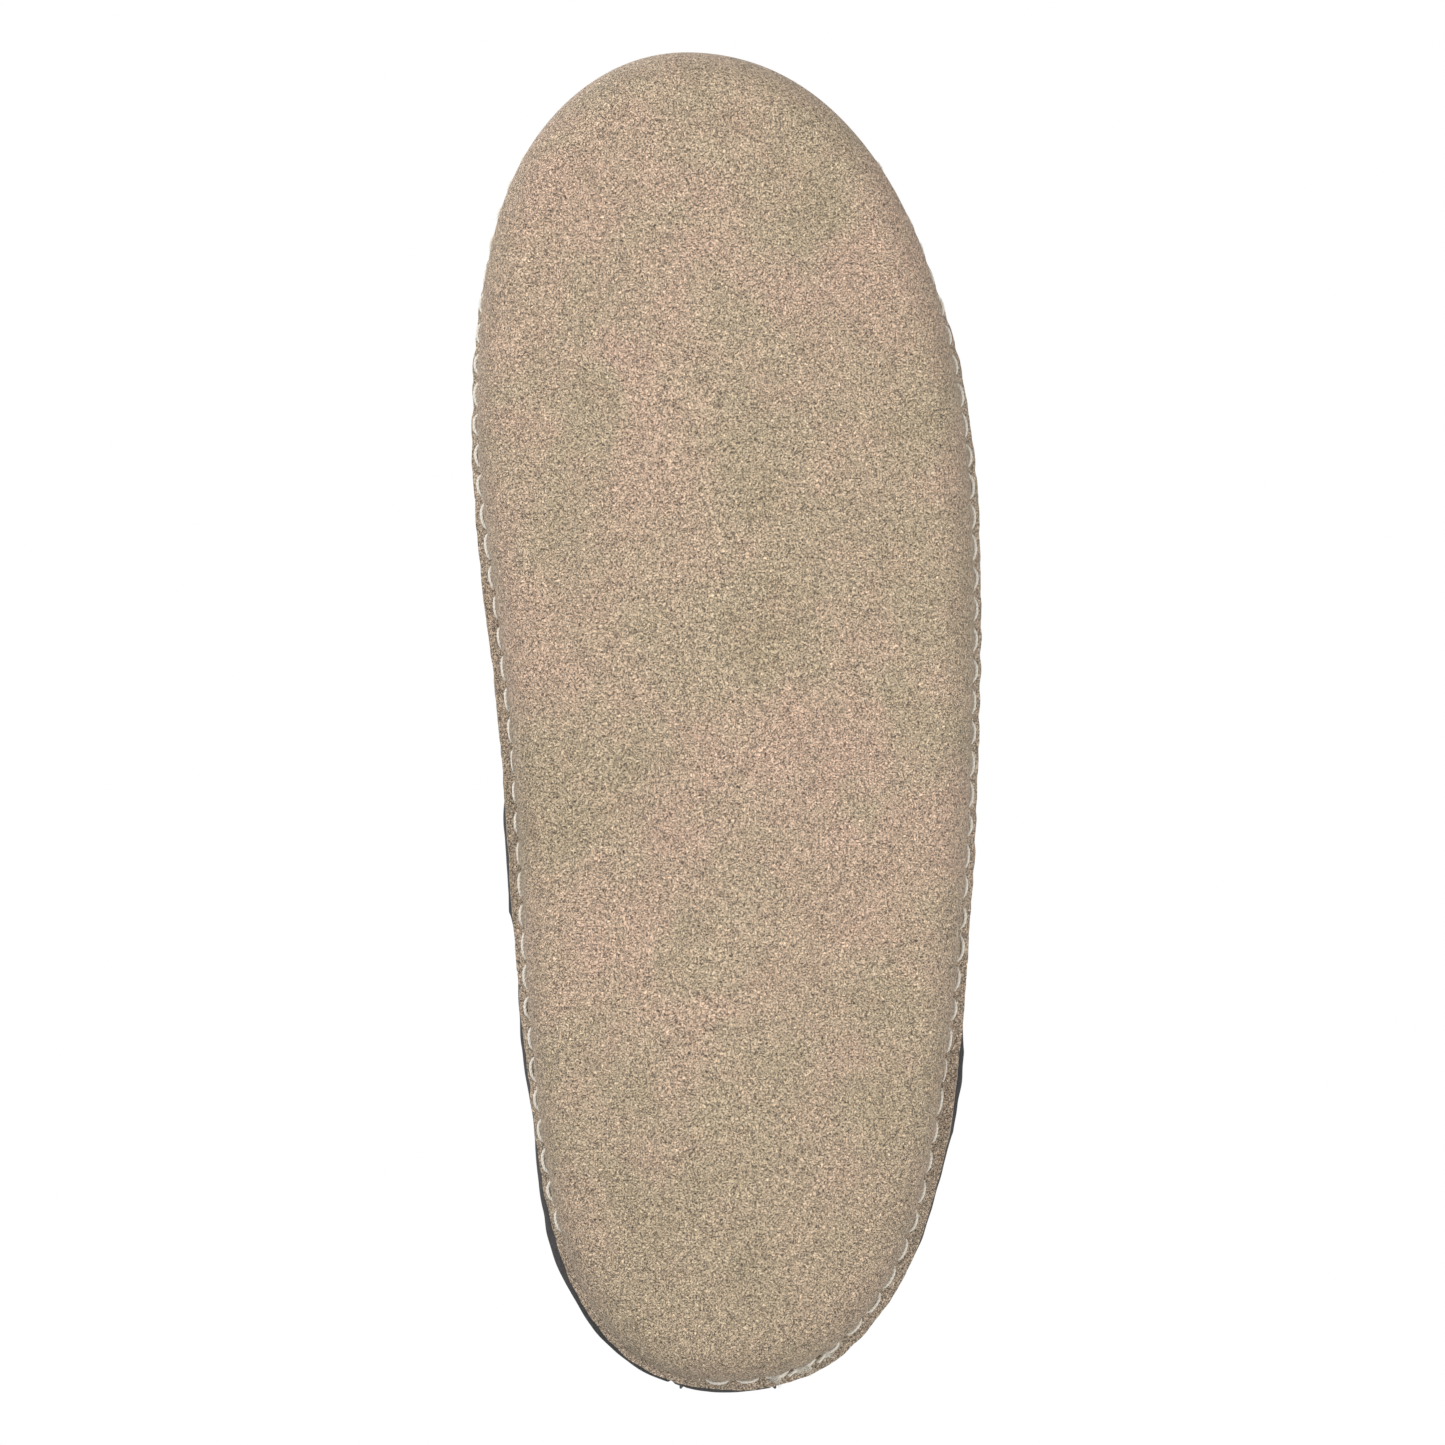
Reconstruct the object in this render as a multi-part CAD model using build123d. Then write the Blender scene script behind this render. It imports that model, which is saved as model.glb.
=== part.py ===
from build123d import *
import math
import os

# A soft-soled moccasin for the left foot, in millimetres.
# The tread lies on z = 0, the toe points along -Y, and the outer (lateral) side of the foot is +X.
# Every skin is built from closed rings round the shoe, joined by ruled faces.

# ---- Overall sizes ----
SHOE_LENGTH = 270.0
SHOE_WIDTH = 102.5
TOE_SWING = -8.0          # how far the toe tip lies to the big-toe side of the heel's centre line
HEEL_SWING = 0.4

# ---- Leather, lining and padding ----
SOLE_LEATHER = 1.8
UPPER_LEATHER = 1.6
COLLAR_FOAM = 1.5
LINING = 2.0
BINDING_TAPE = 0.8
LAYER_GAP = 0.12          # air left between two layers that lie on each other
BUTT_GAP = 0.2            # air left between two edges that meet side by side

# ---- Outsole cup ----
EDGE_ROUNDING = 9.0       # how far the tread's rounded border reaches in
CREASE_DIP = 0.5          # the crease lies this far inside the puffed edge of the sole
UPPER_CREASE = 0.2        # the upper rises this far inside the line of stitching
PUFF_DROP = 3.5           # the widest line of the sole lies this far under the crease
TOE_PUFF_DROP = 9.0
FLANGE_WIDTH = 3.0        # the turned-out seam allowance, from crease to cut edge

# ---- Inside the sole ----
FILLER_TOP = 6.0
BOARD_THICKNESS = 1.2
FOOTBED_THICKNESS = 3.0
HEEL_PAD_THICKNESS = 2.6
HEEL_PAD_LENGTH = 62.0
HEEL_PAD_WIDTH = 44.0
HEEL_PAD_TO_BACK = 14.0
FIT = 0.3                 # room round a piece that drops into a space

# ---- Opening for the foot ----
THROAT_TO_TOE = 113.0
TOPLINE_TO_HEEL = 8.5
OPENING_HALF_WIDTH = 35.0
THROAT_HEIGHT = 70.0
SIDE_HEIGHT = 53.0
BACK_HEIGHT = 62.0
OPENING_TAPER = 2.6       # how much the opening narrows towards the throat
OPENING_BLUNTNESS = 0.15  # how round its throat stays

# ---- Apron (the plug over the instep) ----
APRON_TO_TOE = 34.0
APRON_HALF_WIDTH = 27.0
APRON_THROAT_HALF_WIDTH = 19.0
APRON_SIDE_BOW = 1.0      # how far the U's sides bow out between its width and the throat
APRON_CORNER = (0.66, 0.25)  # where the U turns at the toe, as shares of its half width

# ---- Quarters, backstay and counter ----
SIDE_SEAM_TO_TOE = 147.0  # at the foot of the seam
SIDE_SEAM_LEAN = 20.0     # how far forward the top of the side seam lies
BACKSTAY_WIDTH = 22.0
BACKSTAY_THICKNESS = 1.3
COUNTER_REACH = 62.0      # how far the heel counter comes forward from the back
COUNTER_THICKNESS = 1.3
COUNTER_TO_TOPLINE = 21.0
COLLAR_FOAM_WIDTH = 17.0  # down from the topline
COLLAR_FOAM_START = 84.0  # angle from the toe, in degrees, at which room for the foam begins
COLLAR_FOAM_FULL = 108.0
BINDING_WIDTH = 8.0
BINDING_CROWN = 1.4       # height of the rounded fold, in thicknesses of its lip
BINDING_SHOULDER = 0.2    # where the fold's top begins and ends, as a share of the layers' depth
BACKSTAY_FOOT = 0.05      # rises at which the backstay, the counter and the stitch rows begin
COUNTER_FOOT = 0.03
STITCH_FOOT = 0.12

# ---- Thread ----
SEAM_THREAD = 0.75
SEAM_PITCH = 6.2
SEAM_STITCH = 4.8
APRON_PITCH = 5.2
APRON_STITCH = 5.0
APRON_SEAM_SHOULDER = 6.0  # the apron seam stops this far short of the throat's edge
FINE_THREAD = 0.5
FINE_PITCH = 3.4
FINE_STITCH = 2.5
THREAD_LIFT = 0.2
THREAD_END_ANGLES = [164.5, 170.0]   # round the outline from the toe, on the lateral side
THREAD_END_SPLAY = 2.2
SIDE_STITCH_MARGIN = 3.0
BACKSTAY_STITCH_MARGIN = 2.0

# ---- Fineness of the rings ----
STATIONS = 48
SAMPLES = 960
APRON_SAMPLES = 120
ROW_SAMPLES = 24
RISE_STEPS = [0.0, 0.08, 0.2, 0.35, 0.5, 0.65, 0.8, 0.9, 1.0]
ROUNDING_STEPS = [0.0, 22.5, 45.0, 67.5, 90.0]
LAYER_STEPS = 5
PLATE_STEPS = 3
LEG_STEPS = [1.0, 0.66, 0.33, 0.0]
NUDGE = 1e-3
OVERSIZE = 400.0
BISECTIONS = 30
APRON_SEARCH = math.radians(108)     # how far round each curve is looked for
SIDE_SEARCH = (math.radians(60), math.radians(120))
BACK_SEARCH = 0.6

# ---- Shapes along the shoe, each value 30 degrees of the outline apart, from toe to heel ----
LATERAL_FULLNESS = [0.755, 0.680, 0.608, 0.535, 0.552, 0.640, 0.740]
MEDIAL_FULLNESS = [0.642, 0.612, 0.510, 0.414, 0.446, 0.578, 0.750]
# ... the seam's distance in from the outline, and the trimmed flange, as shares of FLANGE_WIDTH
LATERAL_SEAM_INSET = [0.3, 0.15, 0.47, 0.48, 1.0, 0.85, 0.9]
MEDIAL_SEAM_INSET = [0.3, 0.1, 0.2, 0.9, 0.83, 0.8, 0.9]
FLANGE_TRIM = [1.0, 1.0, 1.0, 1.0, 0.85, 0.85, 0.9]
# ... heights, distances and angles
SEAM_HEIGHT = [25.0, 22.0, 17.0, 14.5, 13.5, 14.0, 15.0]
TOE_WRAP = [1.0, 0.9, 0.15, 0.0, 0.0, 0.0, 0.0]
FLANGE_BACK = [0.7, 0.2, 0.0, 0.0, 1.2, 1.0, 1.0]
WALL_LEAN = [1.5, 1.5, 2.0, 5.5, 11.0, 10.5, 10.4]
WALL_RISE = [22.0, 22.0, 22.0, 20.0, 16.0, 16.0, 18.0]
TOP_SLOPE = [18.0, 20.0, 32.0, 60.0, 78.0, 82.0, 84.0]
TOP_REACH = [52.0, 46.0, 30.0, 20.0, 16.0, 15.0, 15.0]
TOPLINE_SHAPE = [1.0, 0.45, 0.12, 0.0, 0.22, 1.0]


# ---------------------------------------------------------------- curves and formulas

def spread(values, share):
    """A smooth curve through evenly spaced values; share runs from 0 to 1."""
    place = min(max(share, 0.0), 1.0) * (len(values) - 1)
    k = min(int(place), len(values) - 2)
    t = place - k
    a, b = values[k], values[k + 1]
    before = values[k - 1] if k > 0 else a
    after = values[k + 2] if k + 2 < len(values) else b
    slope_a, slope_b = (b - before) / 2, (after - a) / 2
    cubic = (2 * t**3 - 3 * t**2 + 1) * a + (t**3 - 2 * t**2 + t) * slope_a
    return cubic + (3 * t**2 - 2 * t**3) * b + (t**3 - t**2) * slope_b


def fold(theta):
    """Side of the shoe (+1 lateral, -1 medial) and angle from the toe, for a turn round the outline."""
    theta = theta % (2 * math.pi)
    if theta <= math.pi:
        return 1, theta
    return -1, 2 * math.pi - theta


def along(values, theta):
    return spread(values, fold(theta)[1] / math.pi)


def centre_line(share):
    return TOE_SWING + (HEEL_SWING - TOE_SWING) * share


def outline_point(theta):
    """Plan outline of the whole shoe, seen from above."""
    side, angle = fold(theta)
    fullness = LATERAL_FULLNESS if side > 0 else MEDIAL_FULLNESS
    share = (1 - math.cos(angle)) / 2
    reach = spread(fullness, angle / math.pi) * math.sin(angle) * SHOE_WIDTH
    return centre_line(share) + side * reach, -SHOE_LENGTH / 2 * math.cos(angle)


def section_point(theta, inset, height):
    """A point in the upright section at theta, inset from the outline towards the foot."""
    x, y = outline_point(theta)
    x0, y0 = outline_point(theta - NUDGE)
    x1, y1 = outline_point(theta + NUDGE)
    size = math.hypot(x1 - x0, y1 - y0)
    return Vector(x - inset * (y1 - y0) / size, y + inset * (x1 - x0) / size, height)


def seam_inset(theta):
    side, angle = fold(theta)
    shares = LATERAL_SEAM_INSET if side > 0 else MEDIAL_SEAM_INSET
    return FLANGE_WIDTH * spread(shares, angle / math.pi)


def flange_width(theta):
    return FLANGE_WIDTH * along(FLANGE_TRIM, theta)


def puff_inset(theta):
    """The widest line of the sole cup: outside the seam at the toe, just inside it elsewhere."""
    wrap = along(TOE_WRAP, theta)
    return (1 - wrap) * (seam_inset(theta) + 0.5 * CREASE_DIP)


def crease_inset(theta):
    return max(puff_inset(theta), seam_inset(theta)) + CREASE_DIP


def crease_height(theta):
    return along(SEAM_HEIGHT, theta)


def puff_height(theta):
    drop = PUFF_DROP + (TOE_PUFF_DROP - PUFF_DROP) * along(TOE_WRAP, theta)
    return crease_height(theta) - drop


def flange_direction(theta):
    """Outward and upward parts of the turned-out seam allowance: upright at the toe, flat behind."""
    run = crease_inset(theta) - along(FLANGE_BACK, theta)
    level = min(max(run / flange_width(theta), 0.0), 1.0)
    return level, math.sqrt(1 - level * level)


def flange_point(theta, outward, lift):
    """A point on the flange: outward along it from the crease, and lifted square to it."""
    level, rise = flange_direction(theta)
    inset = crease_inset(theta) - outward * level + lift * rise
    return section_point(theta, inset, crease_height(theta) + outward * rise + lift * level)


def opening_share(theta):
    share = (1 - math.cos(fold(theta)[1])) / 2
    return OPENING_BLUNTNESS * share + (1 - OPENING_BLUNTNESS) * share**OPENING_TAPER


def opening_point(theta):
    """The topline: the rim of the opening for the foot."""
    share = opening_share(theta)
    throat = -SHOE_LENGTH / 2 + THROAT_TO_TOE
    back = SHOE_LENGTH / 2 - TOPLINE_TO_HEEL
    y = throat + (back - throat) * share
    x = centre_line(0.5 + y / SHOE_LENGTH)
    x += fold(theta)[0] * 2 * OPENING_HALF_WIDTH * math.sqrt(max(share * (1 - share), 0.0))
    end_height = THROAT_HEIGHT if share < 0.5 else BACK_HEIGHT
    height = SIDE_HEIGHT + (end_height - SIDE_HEIGHT) * spread(TOPLINE_SHAPE, share)
    return Vector(x, y, height)


def wall_point(theta, rise):
    """Outer face of the upper: rise 0 is at the flange, and rise 1 is the topline."""
    foot = flange_point(theta, 0.0, SOLE_LEATHER + LAYER_GAP + UPPER_LEATHER)
    foot = foot + (section_point(theta, UPPER_CREASE, 0) - section_point(theta, 0, 0))
    rim = opening_point(theta)
    outward = section_point(theta, -1, 0) - section_point(theta, 0, 0)
    low = foot + outward * along(WALL_LEAN, theta) + Vector(0, 0, along(WALL_RISE, theta))
    inward = Vector(rim.X - foot.X, rim.Y - foot.Y, 0).normalized()
    slope = math.radians(along(TOP_SLOPE, theta))
    arrival = inward * math.cos(slope) + Vector(0, 0, math.sin(slope))
    high = rim - arrival * along(TOP_REACH, theta)
    t = rise
    return foot * (1 - t)**3 + low * (3 * t * (1 - t)**2) + high * (3 * t * t * (1 - t)) + rim * t**3


def wall_frame(theta, rise):
    """Directions on the upper's outer face: outward, round the shoe, and up the wall."""
    low, high = max(rise - NUDGE, 0.0), min(rise + NUDGE, 1.0)
    up = (wall_point(theta, high) - wall_point(theta, low)).normalized()
    round_ = (wall_point(theta + NUDGE, rise) - wall_point(theta - NUDGE, rise)).normalized()
    return round_.cross(up).normalized(), round_, up


def skin_point(theta, rise, depth, over=0.0):
    """A point under the upper's outer face by depth, and past its topline by over."""
    outward, _, up = wall_frame(theta, rise)
    return wall_point(theta, rise) - outward * depth + up * over


def below_topline(theta, distance):
    """The rise at which the wall is a distance down from the topline."""
    return 1 - distance / (3 * along(TOP_REACH, theta))


def lining_depth(theta):
    """Depth of the lining's outer face: it lies on the vamp, and leaves room for foam behind it."""
    angle = math.degrees(fold(theta)[1])
    t = min(max((angle - COLLAR_FOAM_START) / (COLLAR_FOAM_FULL - COLLAR_FOAM_START), 0.0), 1.0)
    return UPPER_LEATHER + LAYER_GAP + (COLLAR_FOAM + 2 * LAYER_GAP) * t * t * (3 - 2 * t)


def lining_foot_inset(theta):
    """The lining's foot stands inside both the fold of the upper and the rounding of the cup."""
    inside_upper = crease_inset(theta) + max(SOLE_LEATHER, UPPER_CREASE + UPPER_LEATHER) + FIT + LAYER_GAP
    return max(inside_upper, cup_room_inset(theta, footbed_bottom()))


# ---------------------------------------------------------------- rings to solids

def thetas():
    return [2 * math.pi * i / STATIONS for i in range(STATIONS)]


def ring(point):
    """The closed row of points that a formula gives round the shoe."""
    return [point(theta) for theta in thetas()]


def half_edges(points):
    """A closed ring as two curves, one for each side of the shoe, smooth where they meet."""
    half = STATIONS // 2
    edges = []
    for start in (0, half):
        row = [points[(start + k) % STATIONS] for k in range(half + 1)]
        first = (points[(start + 1) % STATIONS] - points[start - 1]) * (half / 2)
        end = (start + half) % STATIONS
        last = (points[(end + 1) % STATIONS] - points[end - 1]) * (half / 2)
        steps = [k / half for k in range(half + 1)]
        edges.append(Edge.make_spline(row, tangents=[first, last], parameters=steps, scale=False))
    return edges


def bands(ring_a, ring_b):
    pairs = zip(half_edges(ring_a), half_edges(ring_b))
    return [Face.make_surface_from_curves(a, b) for a, b in pairs]


def closed_tube(rings):
    """A skin that runs all round the shoe, from the rings at the corners of its section."""
    faces = []
    for k, one in enumerate(rings):
        faces += bands(one, rings[(k + 1) % len(rings)])
    return outward_solid(faces)


def capped(rings):
    """A solid whose first and last rings are flat and closed by plane faces."""
    faces = [Face(Wire(half_edges(rings[0]))), Face(Wire(half_edges(rings[-1])))]
    for one, two in zip(rings, rings[1:]):
        faces += bands(one, two)
    return outward_solid(faces)


def outward_solid(faces):
    solid = Solid(Shell(faces))
    return solid if solid.volume > 0 else Solid(Shell([-face for face in faces]))


def layer(depth_from, depth_to, rise_from, rise_to):
    """A skin between two depths under the upper's outer face and between two rises."""
    steps = [k / LAYER_STEPS for k in range(LAYER_STEPS + 1)]
    rise = lambda theta, t: rise_from(theta) + (rise_to(theta) - rise_from(theta)) * t
    outer = [ring(lambda theta, t=t: skin_point(theta, rise(theta, t), depth_from)) for t in steps]
    inner = [ring(lambda theta, t=t: skin_point(theta, rise(theta, t), depth_to)) for t in reversed(steps)]
    return closed_tube(outer + inner)


# ---------------------------------------------------------------- cutters

def front_of_side_seam(clearance):
    """Everything in front of the slanted side seam, less a clearance."""
    foot_y = -SHOE_LENGTH / 2 + SIDE_SEAM_TO_TOE - clearance
    top_y = foot_y - SIDE_SEAM_LEAN
    slope = (top_y - foot_y) / THROAT_HEIGHT
    high_y = foot_y + slope * OVERSIZE
    low_y = foot_y - slope * OVERSIZE
    corners = [(low_y, -OVERSIZE), (-OVERSIZE * 2, -OVERSIZE), (-OVERSIZE * 2, OVERSIZE), (high_y, OVERSIZE)]
    profile = Plane.YZ * Polyline(*corners, close=True)
    return extrude(make_face(profile), OVERSIZE, both=True)


def side_half(side, clearance):
    """Everything on one side of the heel seam, less a clearance."""
    across = Box(OVERSIZE, 2 * OVERSIZE, 2 * OVERSIZE)
    return Pos(side * (OVERSIZE / 2 + clearance) + HEEL_SWING, 0, 0) * across


def apron_outline(shrink):
    """The U of the apron seam in plan, symmetrical about the shoe's centre line."""
    throat_y = -SHOE_LENGTH / 2 + THROAT_TO_TOE
    tip_y = -SHOE_LENGTH / 2 + APRON_TO_TOE + shrink
    wide_y = tip_y + APRON_HALF_WIDTH
    middle_y = (wide_y + throat_y) / 2
    wide, throat_half = APRON_HALF_WIDTH - shrink, APRON_THROAT_HALF_WIDTH - shrink
    half = [(throat_half, throat_y + APRON_HALF_WIDTH), (throat_half, throat_y),
            ((wide + throat_half) / 2 + APRON_SIDE_BOW, middle_y), (wide, wide_y),
            (wide * APRON_CORNER[0], tip_y + wide * APRON_CORNER[1])]
    place = lambda x, y: (x + centre_line(0.5 + y / SHOE_LENGTH), y)
    left = [place(-x, y) for x, y in half]
    right = [place(x, y) for x, y in reversed(half)]
    return left + [place(0, tip_y)] + right


def apron_prism(shrink):
    points = apron_outline(shrink)
    border = Spline(*points)
    back = Line(points[-1], points[0])
    return extrude(make_face([border, back]), OVERSIZE)


# ---------------------------------------------------------------- sole

def cup_ring(theta, degrees, thickness):
    """Rounded border of the cup: 0 degrees is the edge of the tread, 90 the widest line."""
    turn = math.radians(degrees)
    centre = puff_inset(theta) + EDGE_ROUNDING
    high = puff_height(theta)
    inset = centre - (EDGE_ROUNDING - thickness) * math.sin(turn)
    return section_point(theta, inset, high - (high - thickness) * math.cos(turn))


def outsole():
    outer = [ring(lambda theta, a=a: cup_ring(theta, a, 0.0)) for a in ROUNDING_STEPS]
    inner = [ring(lambda theta, a=a: cup_ring(theta, a, SOLE_LEATHER)) for a in reversed(ROUNDING_STEPS)]
    shoulder = ring(lambda theta: section_point(theta, crease_inset(theta) + SOLE_LEATHER, crease_height(theta)))
    flange = [ring(lambda theta: flange_point(theta, 0.0, 0.0)),
              ring(lambda theta: flange_point(theta, flange_width(theta), 0.0)),
              ring(lambda theta: flange_point(theta, flange_width(theta), SOLE_LEATHER)),
              ring(lambda theta: flange_point(theta, 0.0, SOLE_LEATHER))]
    return capped(outer + flange + [shoulder] + inner)


def cup_room_inset(theta, height):
    """How far in the cup's inner face lies at a height over the tread, with room to fit."""
    high = puff_height(theta)
    rises = [high - (high - SOLE_LEATHER) * math.cos(math.radians(a)) for a in ROUNDING_STEPS]
    reaches = [(EDGE_ROUNDING - SOLE_LEATHER) * math.sin(math.radians(a)) for a in ROUNDING_STEPS]
    k = max([j for j in range(len(rises) - 1) if rises[j] <= height], default=0)
    t = min(max((height - rises[k]) / (rises[k + 1] - rises[k]), 0.0), 1.0)
    reach = reaches[k] + (reaches[k + 1] - reaches[k]) * t
    return puff_inset(theta) + EDGE_ROUNDING - reach + FIT


def plate(bottom, top, inset):
    """A flat plate with the shoe's outline, inset by a formula of theta and height."""
    heights = [bottom + (top - bottom) * k / PLATE_STEPS for k in range(PLATE_STEPS + 1)]
    return capped([ring(lambda theta, z=z: section_point(theta, inset(theta, z), z)) for z in heights])


def heel_pad_plan(extra):
    centre_y = SHOE_LENGTH / 2 - HEEL_PAD_TO_BACK - HEEL_PAD_LENGTH / 2
    half_width, half_length = HEEL_PAD_WIDTH / 2 + extra, HEEL_PAD_LENGTH / 2 + extra
    return Pos(HEEL_SWING, centre_y, FILLER_TOP - HEEL_PAD_THICKNESS - extra) * Ellipse(half_width, half_length)


def sole_filler():
    body = plate(SOLE_LEATHER + LAYER_GAP, FILLER_TOP, cup_room_inset)
    return body - extrude(heel_pad_plan(LAYER_GAP), OVERSIZE)


def heel_pad():
    return extrude(heel_pad_plan(0.0), HEEL_PAD_THICKNESS)


def board_bottom():
    return FILLER_TOP + LAYER_GAP


def board_top():
    return board_bottom() + BOARD_THICKNESS


def insole_board():
    lowest = lambda theta, z: cup_room_inset(theta, board_bottom())
    return plate(board_bottom(), board_top(), lowest)


def footbed_bottom():
    return board_top() + LAYER_GAP


def footbed_top():
    return footbed_bottom() + FOOTBED_THICKNESS


def footbed():
    inset = lambda theta, z: lining_foot_inset(theta) + LINING + FIT
    return plate(footbed_bottom(), footbed_top(), inset)


# ---------------------------------------------------------------- upper

def fold_point(theta):
    """Inner corner of the fold where the upper turns out into its seam allowance."""
    foot = flange_point(theta, 0.0, SOLE_LEATHER + LAYER_GAP + UPPER_LEATHER)
    return foot + section_point(theta, UPPER_CREASE + UPPER_LEATHER, 0) - section_point(theta, 0, 0)


def upper_skin():
    """The whole upper before it is cut into vamp, apron and quarters, with its seam allowance."""
    low, high = SOLE_LEATHER + LAYER_GAP, SOLE_LEATHER + LAYER_GAP + UPPER_LEATHER
    reach = lambda theta: flange_width(theta) - LAYER_GAP
    flange = [ring(lambda theta: flange_point(theta, reach(theta), low)),
              ring(lambda theta: flange_point(theta, reach(theta), high))]
    outer = [ring(lambda theta, r=r: skin_point(theta, r, 0.0)) for r in RISE_STEPS]
    inner = [ring(lambda theta, r=r: skin_point(theta, r, UPPER_LEATHER)) for r in reversed(RISE_STEPS[1:])]
    root = ring(lambda theta: flange_point(theta, -UPPER_CREASE - UPPER_LEATHER, low))
    return closed_tube(flange + outer + inner + [ring(fold_point), root])


def lining_skin():
    """The lining, from the insole board up the wall to the topline."""
    near, far = lining_depth, lambda theta: lining_depth(theta) + LINING
    heights = [footbed_bottom(), footbed_top()]
    outer = [ring(lambda theta, z=z: section_point(theta, lining_foot_inset(theta), z)) for z in heights]
    outer += [ring(lambda theta, r=r: skin_point(theta, r, near(theta))) for r in RISE_STEPS]
    inner = [ring(lambda theta, r=r: skin_point(theta, r, far(theta))) for r in reversed(RISE_STEPS)]
    inner += [ring(lambda theta, z=z: section_point(theta, lining_foot_inset(theta) + LINING, z))
              for z in reversed(heights)]
    return closed_tube(outer + inner)


def vamp_wall():
    return (upper_skin() & front_of_side_seam(0.0)) - apron_prism(0.0)


def apron():
    return upper_skin() & front_of_side_seam(0.0) & apron_prism(BUTT_GAP)


def quarter(side):
    return (upper_skin() - front_of_side_seam(-BUTT_GAP)) & side_half(side, BUTT_GAP / 2)


def vamp_lining():
    return lining_skin() & front_of_side_seam(0.0)


def quarter_lining(side):
    return (lining_skin() - front_of_side_seam(-BUTT_GAP)) & side_half(side, BUTT_GAP / 2)


def behind(y):
    return Pos(0, y + OVERSIZE, 0) * Box(2 * OVERSIZE, 2 * OVERSIZE, 2 * OVERSIZE)


def middle_strip(width):
    return Pos(HEEL_SWING, OVERSIZE, 0) * Box(width, 2 * OVERSIZE, 2 * OVERSIZE)


def backstay():
    """A strip over the heel seam, from the flange up under the binding."""
    near, far = -2 * LAYER_GAP - BACKSTAY_THICKNESS, -2 * LAYER_GAP
    top = lambda theta: below_topline(theta, BINDING_WIDTH + FIT)
    return layer(near, far, lambda theta: BACKSTAY_FOOT, top) & middle_strip(BACKSTAY_WIDTH)


def heel_counter():
    near = UPPER_LEATHER + 2 * LAYER_GAP
    top = lambda theta: below_topline(theta, COUNTER_TO_TOPLINE)
    skin = layer(near, near + COUNTER_THICKNESS, lambda theta: COUNTER_FOOT, top)
    return skin & behind(SHOE_LENGTH / 2 - COUNTER_REACH)


def collar_padding():
    near = UPPER_LEATHER + 2 * LAYER_GAP
    low = lambda theta: below_topline(theta, COLLAR_FOAM_WIDTH + BUTT_GAP)
    high = lambda theta: below_topline(theta, 4 * LAYER_GAP)
    full_y = -SHOE_LENGTH / 2 * math.cos(math.radians(COLLAR_FOAM_FULL))
    return layer(near, near + COLLAR_FOAM, low, high) & behind(full_y + FIT)


def collar_binding():
    """A folded tape over the topline: outer leg, rounded top and inner leg."""
    inside = lambda t: lining_depth(t) + LINING + LAYER_GAP
    lip = LAYER_GAP + BINDING_TAPE
    leg = [lambda t, share=share: below_topline(t, BINDING_WIDTH * share) for share in LEG_STEPS]
    corners = [(rise, lambda t: -lip, 0.0) for rise in leg]
    corners += [(leg[-1], lambda t: BINDING_SHOULDER * inside(t), BINDING_CROWN * lip)]
    corners += [(leg[-1], lambda t: (1 - BINDING_SHOULDER) * inside(t), BINDING_CROWN * lip)]
    corners += [(rise, lambda t: inside(t) + lip, 0.0) for rise in reversed(leg)]
    corners += [(rise, lambda t: inside(t) + LAYER_GAP, 0.0) for rise in leg[:-1]]
    corners += [(leg[-1], lambda t: inside(t) + LAYER_GAP, LAYER_GAP)]
    corners += [(leg[-1], lambda t: -LAYER_GAP, LAYER_GAP)]
    corners += [(rise, lambda t: -LAYER_GAP, 0.0) for rise in reversed(leg[:-1])]
    rings = [ring(lambda t, c=c: skin_point(t, c[0](t), c[1](t), c[2])) for c in corners]
    return closed_tube(rings)


# ---------------------------------------------------------------- stitches

def spaced(path, pitch, stitch):
    """Start and end points of evenly spaced stitches along a path of points."""
    lengths = [0.0]
    for a, b in zip(path, path[1:]):
        lengths.append(lengths[-1] + (b - a).length)
    count = max(int(round(lengths[-1] / pitch)), 1)
    step = lengths[-1] / count

    def at(distance):
        k = next((k for k, d in enumerate(lengths) if d >= distance and k > 0), len(path) - 1)
        t = (distance - lengths[k - 1]) / (lengths[k] - lengths[k - 1])
        return path[k - 1] + (path[k] - path[k - 1]) * t

    starts = [step * k + (step - stitch) / 2 for k in range(count)]
    return [(at(start), at(start + stitch)) for start in starts]


def thread_run(start, end, thickness):
    direction = end - start
    return Solid.make_cylinder(thickness / 2, direction.length, Plane(origin=start, z_dir=direction))


def thread_row(path, pitch, stitch, thickness):
    return Compound([thread_run(a, b, thickness) for a, b in spaced(path, pitch, stitch)])


def solve(function, low, high):
    """Where a function that changes sign between low and high is zero."""
    sign = function(low) > 0
    for _ in range(BISECTIONS):
        middle = (low + high) / 2
        low, high = (middle, high) if (function(middle) > 0) == sign else (low, middle)
    return (low + high) / 2


def seam_point(theta, outward, lift):
    """Under the flange, in the angle beside the puffed edge of the sole."""
    return flange_point(theta, CREASE_DIP + SEAM_THREAD + outward, -(SEAM_THREAD / 2 + THREAD_LIFT + lift))


def sole_seam_stitches():
    path = [seam_point(2 * math.pi * k / SAMPLES, 0.0, 0.0) for k in range(SAMPLES + 1)]
    return thread_row(path, SEAM_PITCH, SEAM_STITCH, SEAM_THREAD)


def seam_thread_ends():
    """Frayed tufts where the hand seam starts and stops, beside the heel."""
    tufts = []
    for angle in THREAD_END_ANGLES:
        theta = math.radians(angle)
        start = seam_point(theta, SEAM_THREAD, SEAM_THREAD)
        for turn in (-THREAD_END_SPLAY, THREAD_END_SPLAY):
            end = seam_point(theta + math.radians(turn), SEAM_THREAD * 2, SEAM_THREAD * 2)
            begin = start + (end - start).normalized() * SEAM_THREAD
            tufts.append(thread_run(begin, end, FINE_THREAD))
    return Compound(tufts)


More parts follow.
